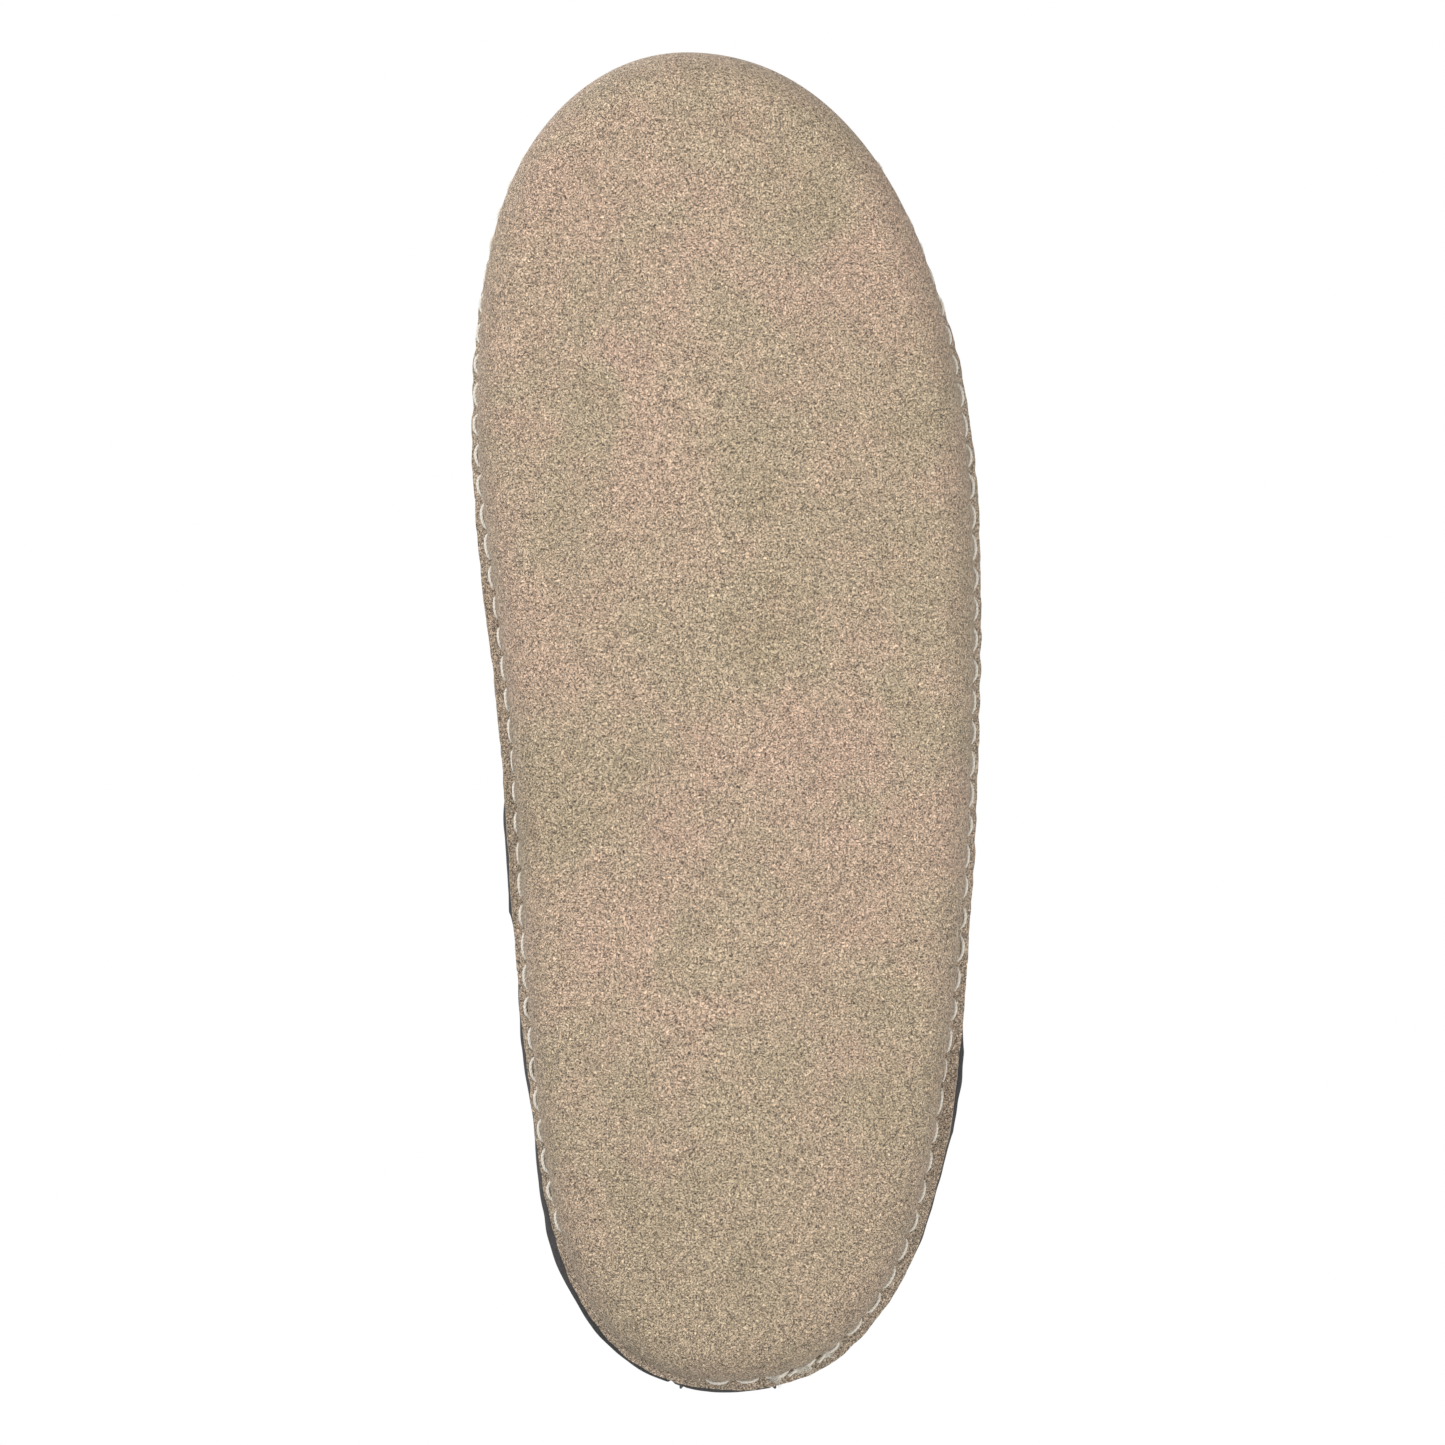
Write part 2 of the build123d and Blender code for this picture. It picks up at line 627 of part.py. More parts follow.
def inside_outline(x, y, points):
    inside = False
    for (x0, y0), (x1, y1) in zip(points, points[1:] + points[:1]):
        if (y0 > y) != (y1 > y) and x < x0 + (y - y0) * (x1 - x0) / (y1 - y0):
            inside = not inside
    return inside


def apron_seam_places():
    """Turn and rise of points along the apron seam, from one end of the throat to the other."""
    curve = Spline(*apron_outline(0.0))
    border = [curve @ (k / SAMPLES) for k in range(SAMPLES + 1)]
    border = [(point.X, point.Y) for point in border]
    places = []
    for k in range(-APRON_SAMPLES, APRON_SAMPLES + 1):
        theta = APRON_SEARCH * k / APRON_SAMPLES

        def outside(rise):
            point = wall_point(theta, rise)
            return -1 if inside_outline(point.X, point.Y, border) else 1

        limit = below_topline(theta, APRON_SEAM_SHOULDER + BINDING_WIDTH)
        if outside(limit) < 0:
            places.append((theta, solve(outside, 0.0, limit)))
    return places


def apron_seam_stitches():
    """Gathering stitches laid across the apron seam, from the vamp to the apron."""
    lift = -(SEAM_THREAD / 2 + 2 * THREAD_LIFT)
    places = apron_seam_places()
    path = [skin_point(theta, rise, lift) for theta, rise in places]
    stitches = []
    for a, b in spaced(path, APRON_PITCH, APRON_PITCH / 2):
        middle = (a + b) * 0.5
        k = min(range(len(path)), key=lambda j: (path[j] - middle).length)
        outward = wall_frame(*places[k])[0]
        across = (b - a).cross(outward).normalized() * (APRON_STITCH / 2)
        stitches.append(thread_run(path[k] - across, path[k] + across, SEAM_THREAD))
    return Compound(stitches)


def side_seam_stitches(side):
    """A row on the quarter, beside its front edge."""
    foot_y = -SHOE_LENGTH / 2 + SIDE_SEAM_TO_TOE + SIDE_STITCH_MARGIN
    path = []
    for k in range(ROW_SAMPLES + 1):
        def behind_seam(angle, k=k):
            theta = side * angle
            rise = spread([STITCH_FOOT, below_topline(theta, BINDING_WIDTH + FIT)], k / ROW_SAMPLES)
            point = wall_point(theta, rise)
            return point.Y - foot_y + SIDE_SEAM_LEAN * point.Z / THROAT_HEIGHT
        angle = solve(behind_seam, *SIDE_SEARCH)
        theta = side * angle
        rise = spread([STITCH_FOOT, below_topline(theta, BINDING_WIDTH + FIT)], k / ROW_SAMPLES)
        path.append(skin_point(theta, rise, -(FINE_THREAD / 2 + THREAD_LIFT)))
    return thread_row(path, FINE_PITCH, FINE_STITCH, FINE_THREAD)


def backstay_stitches():
    """A row inside each edge of the backstay."""
    depth = -(2 * LAYER_GAP + BACKSTAY_THICKNESS + FINE_THREAD / 2 + THREAD_LIFT)
    rows = []
    for side in (-1, 1):
        edge = HEEL_SWING + side * (BACKSTAY_WIDTH / 2 - BACKSTAY_STITCH_MARGIN)
        path = []
        for k in range(ROW_SAMPLES + 1):
            rise = spread([STITCH_FOOT, below_topline(math.pi, BINDING_WIDTH + 2 * FINE_THREAD)], k / ROW_SAMPLES)
            at_edge = lambda theta: wall_point(theta, rise).X - edge
            theta = solve(at_edge, math.pi - BACK_SEARCH, math.pi + BACK_SEARCH)
            path.append(skin_point(theta, rise, depth))
        rows += thread_row(path, FINE_PITCH, FINE_STITCH, FINE_THREAD).solids()
    return Compound(rows)


def binding_stitches():
    depth = -(LAYER_GAP + BINDING_TAPE + FINE_THREAD / 2 + THREAD_LIFT)
    path = []
    for k in range(SAMPLES + 1):
        theta = 2 * math.pi * k / SAMPLES
        path.append(skin_point(theta, below_topline(theta, BINDING_WIDTH * 0.75), depth))
    return thread_row(path, FINE_PITCH, FINE_STITCH, FINE_THREAD)


# ---------------------------------------------------------------- the shoe

NODES = {
    "outsole": outsole,
    "sole_filler": sole_filler,
    "heel_pad": heel_pad,
    "insole_board": insole_board,
    "footbed": footbed,
    "vamp_wall": vamp_wall,
    "apron": apron,
    "quarter_medial": lambda: quarter(-1),
    "quarter_lateral": lambda: quarter(1),
    "backstay": backstay,
    "heel_counter": heel_counter,
    "collar_padding": collar_padding,
    "vamp_lining": vamp_lining,
    "quarter_lining_medial": lambda: quarter_lining(-1),
    "quarter_lining_lateral": lambda: quarter_lining(1),
    "collar_binding": collar_binding,
    "sole_seam_stitches": sole_seam_stitches,
    "seam_thread_ends": seam_thread_ends,
    "apron_seam_stitches": apron_seam_stitches,
    "side_seam_stitches_medial": lambda: side_seam_stitches(-1),
    "side_seam_stitches_lateral": lambda: side_seam_stitches(1),
    "backstay_stitches": backstay_stitches,
    "binding_stitches": binding_stitches,
}

os.makedirs("parts", exist_ok=True)
for name, make in NODES.items():
    piece = make()
    piece.label = name
    export_step(piece, f"parts/{name}.step")
    print(f"{name}: {len(piece.solids())} solids, {piece.volume:.0f} mm3")
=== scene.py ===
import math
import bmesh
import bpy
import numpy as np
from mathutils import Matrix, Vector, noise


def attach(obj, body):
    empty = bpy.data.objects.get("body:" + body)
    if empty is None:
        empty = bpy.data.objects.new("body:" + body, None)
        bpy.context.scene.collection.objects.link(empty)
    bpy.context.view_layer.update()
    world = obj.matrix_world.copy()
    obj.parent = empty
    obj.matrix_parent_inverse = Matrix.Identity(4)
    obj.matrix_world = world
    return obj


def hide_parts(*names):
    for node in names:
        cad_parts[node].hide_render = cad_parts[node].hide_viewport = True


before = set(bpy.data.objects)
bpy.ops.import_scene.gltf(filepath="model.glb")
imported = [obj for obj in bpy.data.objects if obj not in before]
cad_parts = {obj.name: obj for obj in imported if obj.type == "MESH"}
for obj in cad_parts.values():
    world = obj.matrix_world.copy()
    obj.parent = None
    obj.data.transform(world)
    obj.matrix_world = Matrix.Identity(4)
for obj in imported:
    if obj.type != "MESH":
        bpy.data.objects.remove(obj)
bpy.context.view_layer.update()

# %% [markdown]
# # A soft-soled moccasin
# A moccasin like this one is a bag of suede gathered round the foot. A tan sole is wrapped up at the
# toe and sides, its edge is turned outward, and a thick thread is run through that edge and the
# charcoal upper by hand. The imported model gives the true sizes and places. This lesson rebuilds each
# piece as a dense mesh in the same place, so that gathers, stitches and cut edges are real shapes.

MM = 0.001
TURN = 2 * math.pi

# %% [markdown]
# ## The maker's measurements
# The shoe is described once, in millimetres, with the same named sizes as its CAD model. Everything
# is a function of two numbers: `theta`, the turn round the outline from the toe tip over the outer
# side to the heel and back, and `rise`, which climbs the wall from the seam (0) to the topline (1).
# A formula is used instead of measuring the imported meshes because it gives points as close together
# as a gather or a stitch hole needs.

# %% Sizes
SHOE_LENGTH, SHOE_WIDTH = 270.0, 102.5
TOE_SWING, HEEL_SWING = -8.0, 0.4
SOLE_LEATHER, UPPER_LEATHER, COLLAR_FOAM = 1.8, 1.6, 1.5
LINING, BINDING_TAPE, LAYER_GAP, BUTT_GAP = 2.0, 0.8, 0.12, 0.2
EDGE_ROUNDING, CREASE_DIP, UPPER_CREASE = 9.0, 0.5, 0.2
PUFF_DROP, TOE_PUFF_DROP, FLANGE_WIDTH = 3.5, 9.0, 3.0
FILLER_TOP, BOARD_THICKNESS, FOOTBED_THICKNESS, FIT = 6.0, 1.2, 3.0, 0.3
THROAT_TO_TOE, TOPLINE_TO_HEEL, OPENING_HALF_WIDTH = 113.0, 8.5, 35.0
THROAT_HEIGHT, SIDE_HEIGHT, BACK_HEIGHT = 70.0, 53.0, 62.0
APRON_TO_TOE, APRON_HALF_WIDTH, APRON_THROAT_HALF_WIDTH = 34.0, 27.0, 19.0
SIDE_SEAM_TO_TOE, SIDE_SEAM_LEAN = 147.0, 20.0
BACKSTAY_WIDTH, BACKSTAY_THICKNESS = 22.0, 1.3
COLLAR_FOAM_START, COLLAR_FOAM_FULL, BINDING_WIDTH = 84.0, 108.0, 8.0
SEAM_THREAD, FINE_THREAD = 0.75, 0.5

# Shapes along the shoe, each value 30 degrees of the outline apart, from toe to heel.
LATERAL_FULLNESS = [0.755, 0.680, 0.608, 0.535, 0.552, 0.640, 0.740]
MEDIAL_FULLNESS = [0.642, 0.612, 0.510, 0.414, 0.446, 0.578, 0.750]
LATERAL_SEAM_INSET = [0.3, 0.15, 0.47, 0.48, 1.0, 0.85, 0.9]
MEDIAL_SEAM_INSET = [0.3, 0.1, 0.42, 0.9, 0.83, 0.8, 0.9]
FLANGE_TRIM = [1.0, 1.0, 1.0, 1.0, 0.85, 0.85, 0.9]
SEAM_HEIGHT = [25.0, 22.0, 17.0, 14.5, 13.5, 14.0, 15.0]
TOE_WRAP = [1.0, 0.9, 0.15, 0.0, 0.0, 0.0, 0.0]
FLANGE_BACK = [0.7, 0.2, 0.0, 0.0, 1.2, 1.0, 1.0]
WALL_LEAN = [1.5, 1.5, 2.0, 5.5, 11.0, 10.5, 10.4]
WALL_RISE = [22.0, 22.0, 22.0, 20.0, 16.0, 16.0, 18.0]
TOP_SLOPE = [18.0, 20.0, 32.0, 60.0, 78.0, 82.0, 84.0]
TOP_REACH = [52.0, 46.0, 30.0, 20.0, 16.0, 15.0, 15.0]
TOPLINE_SHAPE = [1.0, 0.45, 0.12, 0.0, 0.22, 1.0]

# %% [markdown]
# ## Curves that every piece shares
# A pattern cutter works from one outline of the sole. Here it is a pair of smooth curves, one for each
# side, through a few widths given along the shoe. Spline objects could draw it too, but a function can
# be asked for any point, and NumPy answers for a whole grid of points at once.

# %% Curves shared by every piece
def spread(values, share):
    """A smooth curve through evenly spaced values, for an array of shares from 0 to 1."""
    values = np.asarray(values, float)
    place = np.clip(share, 0.0, 1.0) * (len(values) - 1)
    k = np.minimum(place.astype(int), len(values) - 2)
    t = place - k
    a, b = values[k], values[k + 1]
    before = values[np.maximum(k - 1, 0)]
    after = values[np.minimum(k + 2, len(values) - 1)]
    curve = (2 * t**3 - 3 * t**2 + 1) * a + (t**3 - 2 * t**2 + t) * (b - before) / 2
    return curve + (3 * t**2 - 2 * t**3) * b + (t**3 - t**2) * (after - a) / 2


def fold(theta):
    """Side (+1 outer, -1 big-toe side) and the angle from the toe tip."""
    theta = np.mod(theta, TURN)
    side = np.where(theta <= math.pi, 1.0, -1.0)
    return side, np.where(side > 0, theta, TURN - theta)


def along(values, theta):
    return spread(values, fold(theta)[1] / math.pi)


def by_side(lateral, medial, theta):
    return np.where(fold(theta)[0] > 0, along(lateral, theta), along(medial, theta))


def smooth(t):
    t = np.clip(t, 0.0, 1.0)
    return t * t * (3 - 2 * t)


def centre_line(share):
    return TOE_SWING + (HEEL_SWING - TOE_SWING) * share


def stack(x, y, z):
    return np.stack(np.broadcast_arrays(x, y, z), axis=-1).astype(float)


def unit(vectors):
    return vectors / np.maximum(np.linalg.norm(vectors, axis=-1, keepdims=True), 1e-9)


def outline(theta):
    side, angle = fold(theta)
    share = (1 - np.cos(angle)) / 2
    reach = by_side(LATERAL_FULLNESS, MEDIAL_FULLNESS, theta) * np.sin(angle) * SHOE_WIDTH
    return stack(centre_line(share) + side * reach, -SHOE_LENGTH / 2 * np.cos(angle), 0.0)


def outward(theta):
    step = outline(theta + 1e-3) - outline(theta - 1e-3)
    return unit(stack(step[..., 1], -step[..., 0], 0.0))


def section(theta, inset, height):
    """A point in the upright section at theta, inset from the outline towards the foot."""
    return outline(theta) - outward(theta) * np.asarray(inset)[..., None] + stack(0, 0, height)


# %% [markdown]
# ## Border and flange
# Near its edge the sole leather climbs, bulges out, dips into the seam's crease and turns outward as a
# flange. These are offsets from the outline in the upright plane at each theta. At the toe the sole
# wraps high and hides its own seam, and along the sides and heel the flange shows from below.

# %% The sole's border and the turned-out flange
def seam_inset(theta):
    return FLANGE_WIDTH * by_side(LATERAL_SEAM_INSET, MEDIAL_SEAM_INSET, theta)


def flange_width(theta):
    return FLANGE_WIDTH * along(FLANGE_TRIM, theta)


def puff_inset(theta):
    return (1 - along(TOE_WRAP, theta)) * (seam_inset(theta) + 0.5 * CREASE_DIP)


def crease_inset(theta):
    return np.maximum(puff_inset(theta), seam_inset(theta)) + CREASE_DIP


def crease_height(theta):
    return along(SEAM_HEIGHT, theta)


def puff_height(theta):
    drop = PUFF_DROP + (TOE_PUFF_DROP - PUFF_DROP) * along(TOE_WRAP, theta)
    return crease_height(theta) - drop


# Extra width of the flange round the heel in millimetres, and more of it on the outer side.
HEEL_TRIM, HEEL_TRIM_OUTER = 0.25, 0.85


def cut_width(theta):
    """Width of the flange as it was really trimmed: round the heel it was left a little wide."""
    heel = smooth((fold(theta)[1] - 1.75) / 0.5)
    outer = smooth((math.pi + 0.15 - np.mod(theta, TURN)) / 0.5)
    return flange_width(theta) + heel * (HEEL_TRIM + HEEL_TRIM_OUTER * outer)


def flange_direction(theta):
    run = crease_inset(theta) - along(FLANGE_BACK, theta)
    level = np.clip(run / flange_width(theta), 0.0, 1.0)
    return level, np.sqrt(1 - level * level)


def flange_point(theta, reach, lift):
    level, rise = flange_direction(theta)
    inset = crease_inset(theta) - reach * level + lift * rise
    return section(theta, inset, crease_height(theta) + reach * rise + lift * level)


# %% [markdown]
# ## The upper as one wall
# The upper leaves the seam, leans out over the foot's widest line and closes towards the opening. Each
# upright section is a cubic curve from the seam to the topline. Panels, linings and padding are all
# taken from this one wall, at different depths, so they can never cut through one another.

# %% The wall of the upper
def topline(theta):
    share = (1 - np.cos(fold(theta)[1])) / 2
    share = 0.15 * share + 0.85 * share**2.6
    throat, back = -SHOE_LENGTH / 2 + THROAT_TO_TOE, SHOE_LENGTH / 2 - TOPLINE_TO_HEEL
    y = throat + (back - throat) * share
    half = 2 * OPENING_HALF_WIDTH * np.sqrt(np.maximum(share * (1 - share), 0.0))
    end = np.where(share < 0.5, THROAT_HEIGHT, BACK_HEIGHT)
    height = SIDE_HEIGHT + (end - SIDE_HEIGHT) * spread(TOPLINE_SHAPE, share)
    return stack(centre_line(0.5 + y / SHOE_LENGTH) + fold(theta)[0] * half, y, height)


def wall(theta, rise):
    """Outer face of the upper, a cubic curve at each theta."""
    theta, rise = np.broadcast_arrays(np.asarray(theta, float), np.asarray(rise, float))
    foot = flange_point(theta, 0.0, SOLE_LEATHER + LAYER_GAP + UPPER_LEATHER)
    foot = foot - outward(theta) * UPPER_CREASE
    rim = topline(theta)
    low = foot + outward(theta) * along(WALL_LEAN, theta)[..., None] + stack(0, 0, along(WALL_RISE, theta))
    inward = unit((rim - foot) * [1, 1, 0])
    slope = np.radians(along(TOP_SLOPE, theta))[..., None]
    arrival = inward * np.cos(slope) + np.array([0, 0, 1]) * np.sin(slope)
    high = rim - arrival * along(TOP_REACH, theta)[..., None]
    t = rise[..., None]
    return foot * (1 - t)**3 + low * 3 * t * (1 - t)**2 + high * 3 * t * t * (1 - t) + rim * t**3


def wall_frame(theta, rise):
    """Outward, round and up directions on the wall."""
    up = unit(wall(theta, np.minimum(rise + 1e-3, 1.0)) - wall(theta, np.maximum(rise - 1e-3, 0.0)))
    round_ = unit(wall(theta + 1e-3, rise) - wall(theta - 1e-3, rise))
    return unit(np.cross(round_, up)), round_, up


def skin(theta, rise, depth, over=0.0):
    """Under the outer face by depth, and past the topline by over."""
    theta, rise = np.broadcast_arrays(np.asarray(theta, float), np.asarray(rise, float))
    out, _, up = wall_frame(theta, rise)
    depth, over = np.broadcast_to(depth, theta.shape), np.broadcast_to(over, theta.shape)
    return wall(theta, rise) - out * depth[..., None] + up * over[..., None]


def below_topline(theta, distance):
    return 1 - distance / (3 * along(TOP_REACH, theta))


def lining_depth(theta):
    angle = np.degrees(fold(theta)[1])
    t = smooth((angle - COLLAR_FOAM_START) / (COLLAR_FOAM_FULL - COLLAR_FOAM_START))
    return UPPER_LEATHER + LAYER_GAP + (COLLAR_FOAM + 2 * LAYER_GAP) * t


BOARD_BOTTOM = FILLER_TOP + LAYER_GAP
FOOTBED_BOTTOM = BOARD_BOTTOM + BOARD_THICKNESS + LAYER_GAP
FOOTBED_TOP = FOOTBED_BOTTOM + FOOTBED_THICKNESS


def room_inset(theta, height):
    """Inset of the cup's inner face at a height, with room to fit."""
    high = puff_height(theta)
    up = np.clip((high - height) / (high - SOLE_LEATHER), 0, 1)
    return puff_inset(theta) + EDGE_ROUNDING - (EDGE_ROUNDING - SOLE_LEATHER) * np.sqrt(1 - up**2) + FIT


def lining_foot_inset(theta):
    inside_upper = crease_inset(theta) + max(SOLE_LEATHER, UPPER_CREASE + UPPER_LEATHER) + FIT + LAYER_GAP
    return np.maximum(inside_upper, room_inset(theta, FOOTBED_BOTTOM))


lengths = np.linalg.norm(np.diff(outline(np.linspace(0, TURN, 721)), axis=0), axis=1)
print("outline is", round(lengths.sum()), "mm round")

# %% [markdown]
# ## From grids of points to leather
# A leather panel is two grids of points, one for the grain side and one for the flesh side, joined
# by a cut edge. Extruding with a modifier would also give thickness, but here the two faces carry
# different gathers, so both are computed. The cut edge gets its own finish, because raw suede shows
# paler fibres there.

# %% Mesh helpers
def grid_faces(rows, columns, start, wrap):
    """Quads of a grid of points stored row by row; wrap joins the last column to the first."""
    r, c = np.meshgrid(np.arange(rows - 1), np.arange(columns if wrap else columns - 1), indexing="ij")
    d = (c + 1) % columns
    quads = np.stack([r * columns + c, r * columns + d, (r + 1) * columns + d, (r + 1) * columns + c], -1)
    return quads.reshape(-1, 4) + start


def panel(face, back, wrap):
    """Points, quads and cut-edge marks of a panel with a face grid and a back grid."""
    rows, columns = face.shape[:2]
    size = rows * columns
    index = np.arange(size).reshape(rows, columns)
    borders = [index[0], index[-1][::-1]]
    if not wrap:
        borders += [index[:, -1], index[::-1, 0]]
    rims = []
    for border in borders:
        ahead = np.roll(border, -1) if wrap else border[1:]
        here = border if wrap else border[:-1]
        rims.append(np.stack([here, here + size, ahead + size, ahead], -1))
    front = grid_faces(rows, columns, 0, wrap)
    rear = grid_faces(rows, columns, size, wrap)[:, ::-1]
    edge = np.concatenate(rims)
    quads = np.concatenate([front, rear, edge])
    marks = np.concatenate([np.zeros(len(front)), np.zeros(len(rear)), np.ones(len(edge))]).astype(int)
    return np.concatenate([face.reshape(-1, 3), back.reshape(-1, 3)]), quads, marks


def make_piece(name, points, faces, finishes, slot, replaces=(), marks=None, shares=None, crisp=50):
    """A mesh object in metres that rides on the shoe and stands for the CAD nodes it replaces."""
    mesh = bpy.data.meshes.new(name)
    mesh.from_pydata((np.asarray(points) * MM).tolist(), [], [list(map(int, face)) for face in faces])
    for finish in finishes:
        mesh.materials.append(finish)
    if marks is not None:
        mesh.polygons.foreach_set("material_index", np.asarray(marks, np.int32))
    for key, values in (shares or {}).items():
        attribute = mesh.attributes.new(key, "FLOAT", "POINT")
        attribute.data.foreach_set("value", np.asarray(values, np.float32).ravel())
    shape = bmesh.new()
    shape.from_mesh(mesh)
    bmesh.ops.remove_doubles(shape, verts=shape.verts, dist=2e-6)
    bmesh.ops.dissolve_degenerate(shape, edges=shape.edges, dist=1e-7)
    bmesh.ops.recalc_face_normals(shape, faces=shape.faces)
    shape.to_mesh(mesh)
    shape.free()
    mesh.polygons.foreach_set("use_smooth", [True] * len(mesh.polygons))
    mesh.set_sharp_from_angle(angle=math.radians(crisp))
    piece = bpy.data.objects.new(name, mesh)
    bpy.context.collection.objects.link(piece)
    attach(piece, "root")
    for node in replaces:
        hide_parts(node)
    print(f"{name}: {len(mesh.vertices)} points, {len(mesh.polygons)} faces")
    return piece


def lumps(points, size, octaves=3, seed=0.0):
    """Gentle unevenness at each point, about -1 to 1, with features of a size in millimetres."""
    flat = points.reshape(-1, 3) / size + np.array([seed, 3.1 * seed, -seed])
    values = [noise.fractal(Vector(p), 1.0, 2.0, octaves) for p in flat.tolist()]
    return np.array(values).reshape(points.shape[:-1])


# %% [markdown]
# ## A small language for finishes
# A finish is a procedural material. Writing node graphs by hand is slow to read, so one class wraps
# a socket and lets plain arithmetic add the Math nodes: `1 - mask` is a Subtract node.

# %% Sockets with arithmetic
class Thread:
    """A value that runs from one node to the next."""

    def __init__(self, finish, socket):
        self.finish, self.socket = finish, socket

    def _math(self, operation, first, second):
        return self.finish.node("ShaderNodeMath", {"operation": operation}, {0: first, 1: second})

    def __add__(self, other):
        return self._math("ADD", self, other)

    def __sub__(self, other):
        return self._math("SUBTRACT", self, other)

    def __mul__(self, other):
        return self._math("MULTIPLY", self, other)

    def __radd__(self, other):
        return self._math("ADD", other, self)

    def __rsub__(self, other):
        return self._math("SUBTRACT", other, self)

    def __rmul__(self, other):
        return self._math("MULTIPLY", other, self)


class Finish:
    """A material under construction."""

    def __init__(self, name):
        self.material = bpy.data.materials.new(name)
        self.material.use_nodes = True
        self.tree = self.material.node_tree
        self.shader = next(node for node in self.tree.nodes if node.type == "BSDF_PRINCIPLED")
        self.place = self.node("ShaderNodeTexCoord", output="Object")

    def node(self, kind, settings=None, inputs=None, output=0):
        made = self.tree.nodes.new(kind)
        for key, value in (settings or {}).items():
            setattr(made, key, value)
        for key, value in (inputs or {}).items():
            self.feed(made.inputs[key], value)
        return Thread(self, made.outputs[output])

    def feed(self, socket, value):
        if isinstance(value, Thread):
            self.tree.links.new(value.socket, socket)
        else:
            socket.default_value = value

    def share(self, name):
        return self.node("ShaderNodeAttribute", {"attribute_name": name}, output="Fac")

    def grain(self, size, detail=3.0, rough=0.55, twist=0.0, place=None):
        """Noise with features of a size in millimetres, spread about 0.5."""
        inputs = {"Vector": place or self.place, "Scale": 1000.0 / size, "Detail": detail,
                  "Roughness": rough, "Distortion": twist}
        return self.node("ShaderNodeTexNoise", {}, inputs)

    def worms(self, size, width=0.1, twist=1.0):
        """Thin winding ridges: 1 on a ridge, 0 between."""
        centred = self.grain(size, 1.5, 0.5, twist) - 0.5
        away = self.node("ShaderNodeMath", {"operation": "ABSOLUTE"}, {0: centred})
        return 1 - self.steps(away, 0.0, width)

    def stretched(self, sx, sy, sz):
        return self.node("ShaderNodeMapping", {}, {"Vector": self.place, "Scale": (sx, sy, sz)})

    def steps(self, value, low, high):
        """A smooth step from 0 at low to 1 at high."""
        settings = {"interpolation_type": "SMOOTHSTEP"}
        return self.node("ShaderNodeMapRange", settings, {"Value": value, 1: low, 2: high})

    def blend(self, factor, first, second, mode="MIX"):
        settings = {"data_type": "RGBA", "blend_type": mode, "clamp_factor": True}
        return self.node("ShaderNodeMix", settings, {0: factor, 6: first, 7: second}, output=2)

    def scale(self, colour, amount):
        return self.node("ShaderNodeVectorMath", {"operation": "SCALE"}, {0: colour, "Scale": amount})

    def relief(self, height, depth, strength=1.0, below=None):
        """Bump: height 0 to 1 over a depth in millimetres."""
        inputs = {"Height": height, "Distance": depth * MM, "Strength": strength}
        if below is not None:
            inputs["Normal"] = below
        return self.node("ShaderNodeBump", {}, inputs)

    def set(self, **sockets):
        for name, value in sockets.items():
            self.feed(self.shader.inputs[name.replace("_", " ")], value)
        return self.material


def tone(red, green, blue):
    """A colour written in everyday 0 to 255 steps, as light."""
    def light(step):
        value = step / 255
        return value / 12.92 if value <= 0.04045 else ((value + 0.055) / 1.055)**2.4
    return (light(red), light(green), light(blue), 1.0)

# %% [markdown]
# ## Tan suede
# Suede is the split, fleshy side of a hide, buffed until a short nap stands up. Seen close, the nap
# lies in tiny worm-like tufts under a millimetre long; seen from further off, it drifts in soft
# patches between a pinkish tan and an olive beige, where the nap leans another way. So the colour is
# built in those layers, from broad to fine, and the same fine layer drives the bump.

# %% Finish of the sole
def tan_suede():
    finish = Finish("tan_suede")
    border = finish.share("border")
    broad = finish.grain(60.0, 2.0, 0.5, 0.3)
    patch = finish.grain(24.0, 3.0, 0.55, 0.6)
    cloud = finish.grain(9.0, 2.0, 0.5)
    ridges = finish.worms(0.62, 0.085, 0.6)
    hollows = finish.worms(0.52, 0.08, 0.5)
    fuzz = finish.grain(0.42, 1.0, 0.5)
    colour = finish.blend(finish.steps(broad, 0.35, 0.65), tone(196, 168, 146), tone(185, 165, 139))
    colour = finish.blend(finish.steps(patch, 0.38, 0.68) * 0.75, colour, tone(181, 166, 138))
    colour = finish.blend(finish.steps(cloud, 0.42, 0.75) * 0.35, colour, tone(196, 165, 143))
    seat = finish.node("ShaderNodeSeparateXYZ", {}, {"Vector": finish.place}, output="Y")
    colour = finish.blend(finish.steps(seat, 0.05, 0.13) * 0.6, colour, tone(174, 157, 131))
    colour = finish.blend(finish.steps(broad * 0.4 + patch * 0.6, 0.52, 0.66) * 0.45, colour,
                          tone(170, 147, 121))
    # Painted shade: the rounded border, the crease and the flange are greyed and darkened in the colour
    # itself.
    colour = finish.blend(finish.steps(border, 0.3, 1.0) * 0.6, colour, tone(177, 160, 141))
    rub = finish.node("ShaderNodeTexVoronoi", {}, {"Vector": finish.place, "Scale": 21.0})
    scuff = (1 - finish.steps(rub, 0.010, 0.030)) * finish.steps(patch, 0.5, 0.56)
    colour = finish.blend(scuff * 0.5, colour, tone(120, 98, 76))
    nap = ridges * 0.45 + finish.steps(fuzz, 0.3, 0.7) * 0.3 + (1 - hollows) * 0.6
    colour = finish.scale(colour, 0.02 + nap * 1.70)
    soft = finish.relief(patch, 1.2, 0.35)
    bump = finish.relief(nap, 0.45, 1.0, below=soft)
    rough = 0.84 + nap * 0.1
    return finish.set(Base_Color=colour, Roughness=rough, Normal=bump, Sheen_Weight=0.12,
                      Sheen_Roughness=0.6, Specular_IOR_Level=0.18)


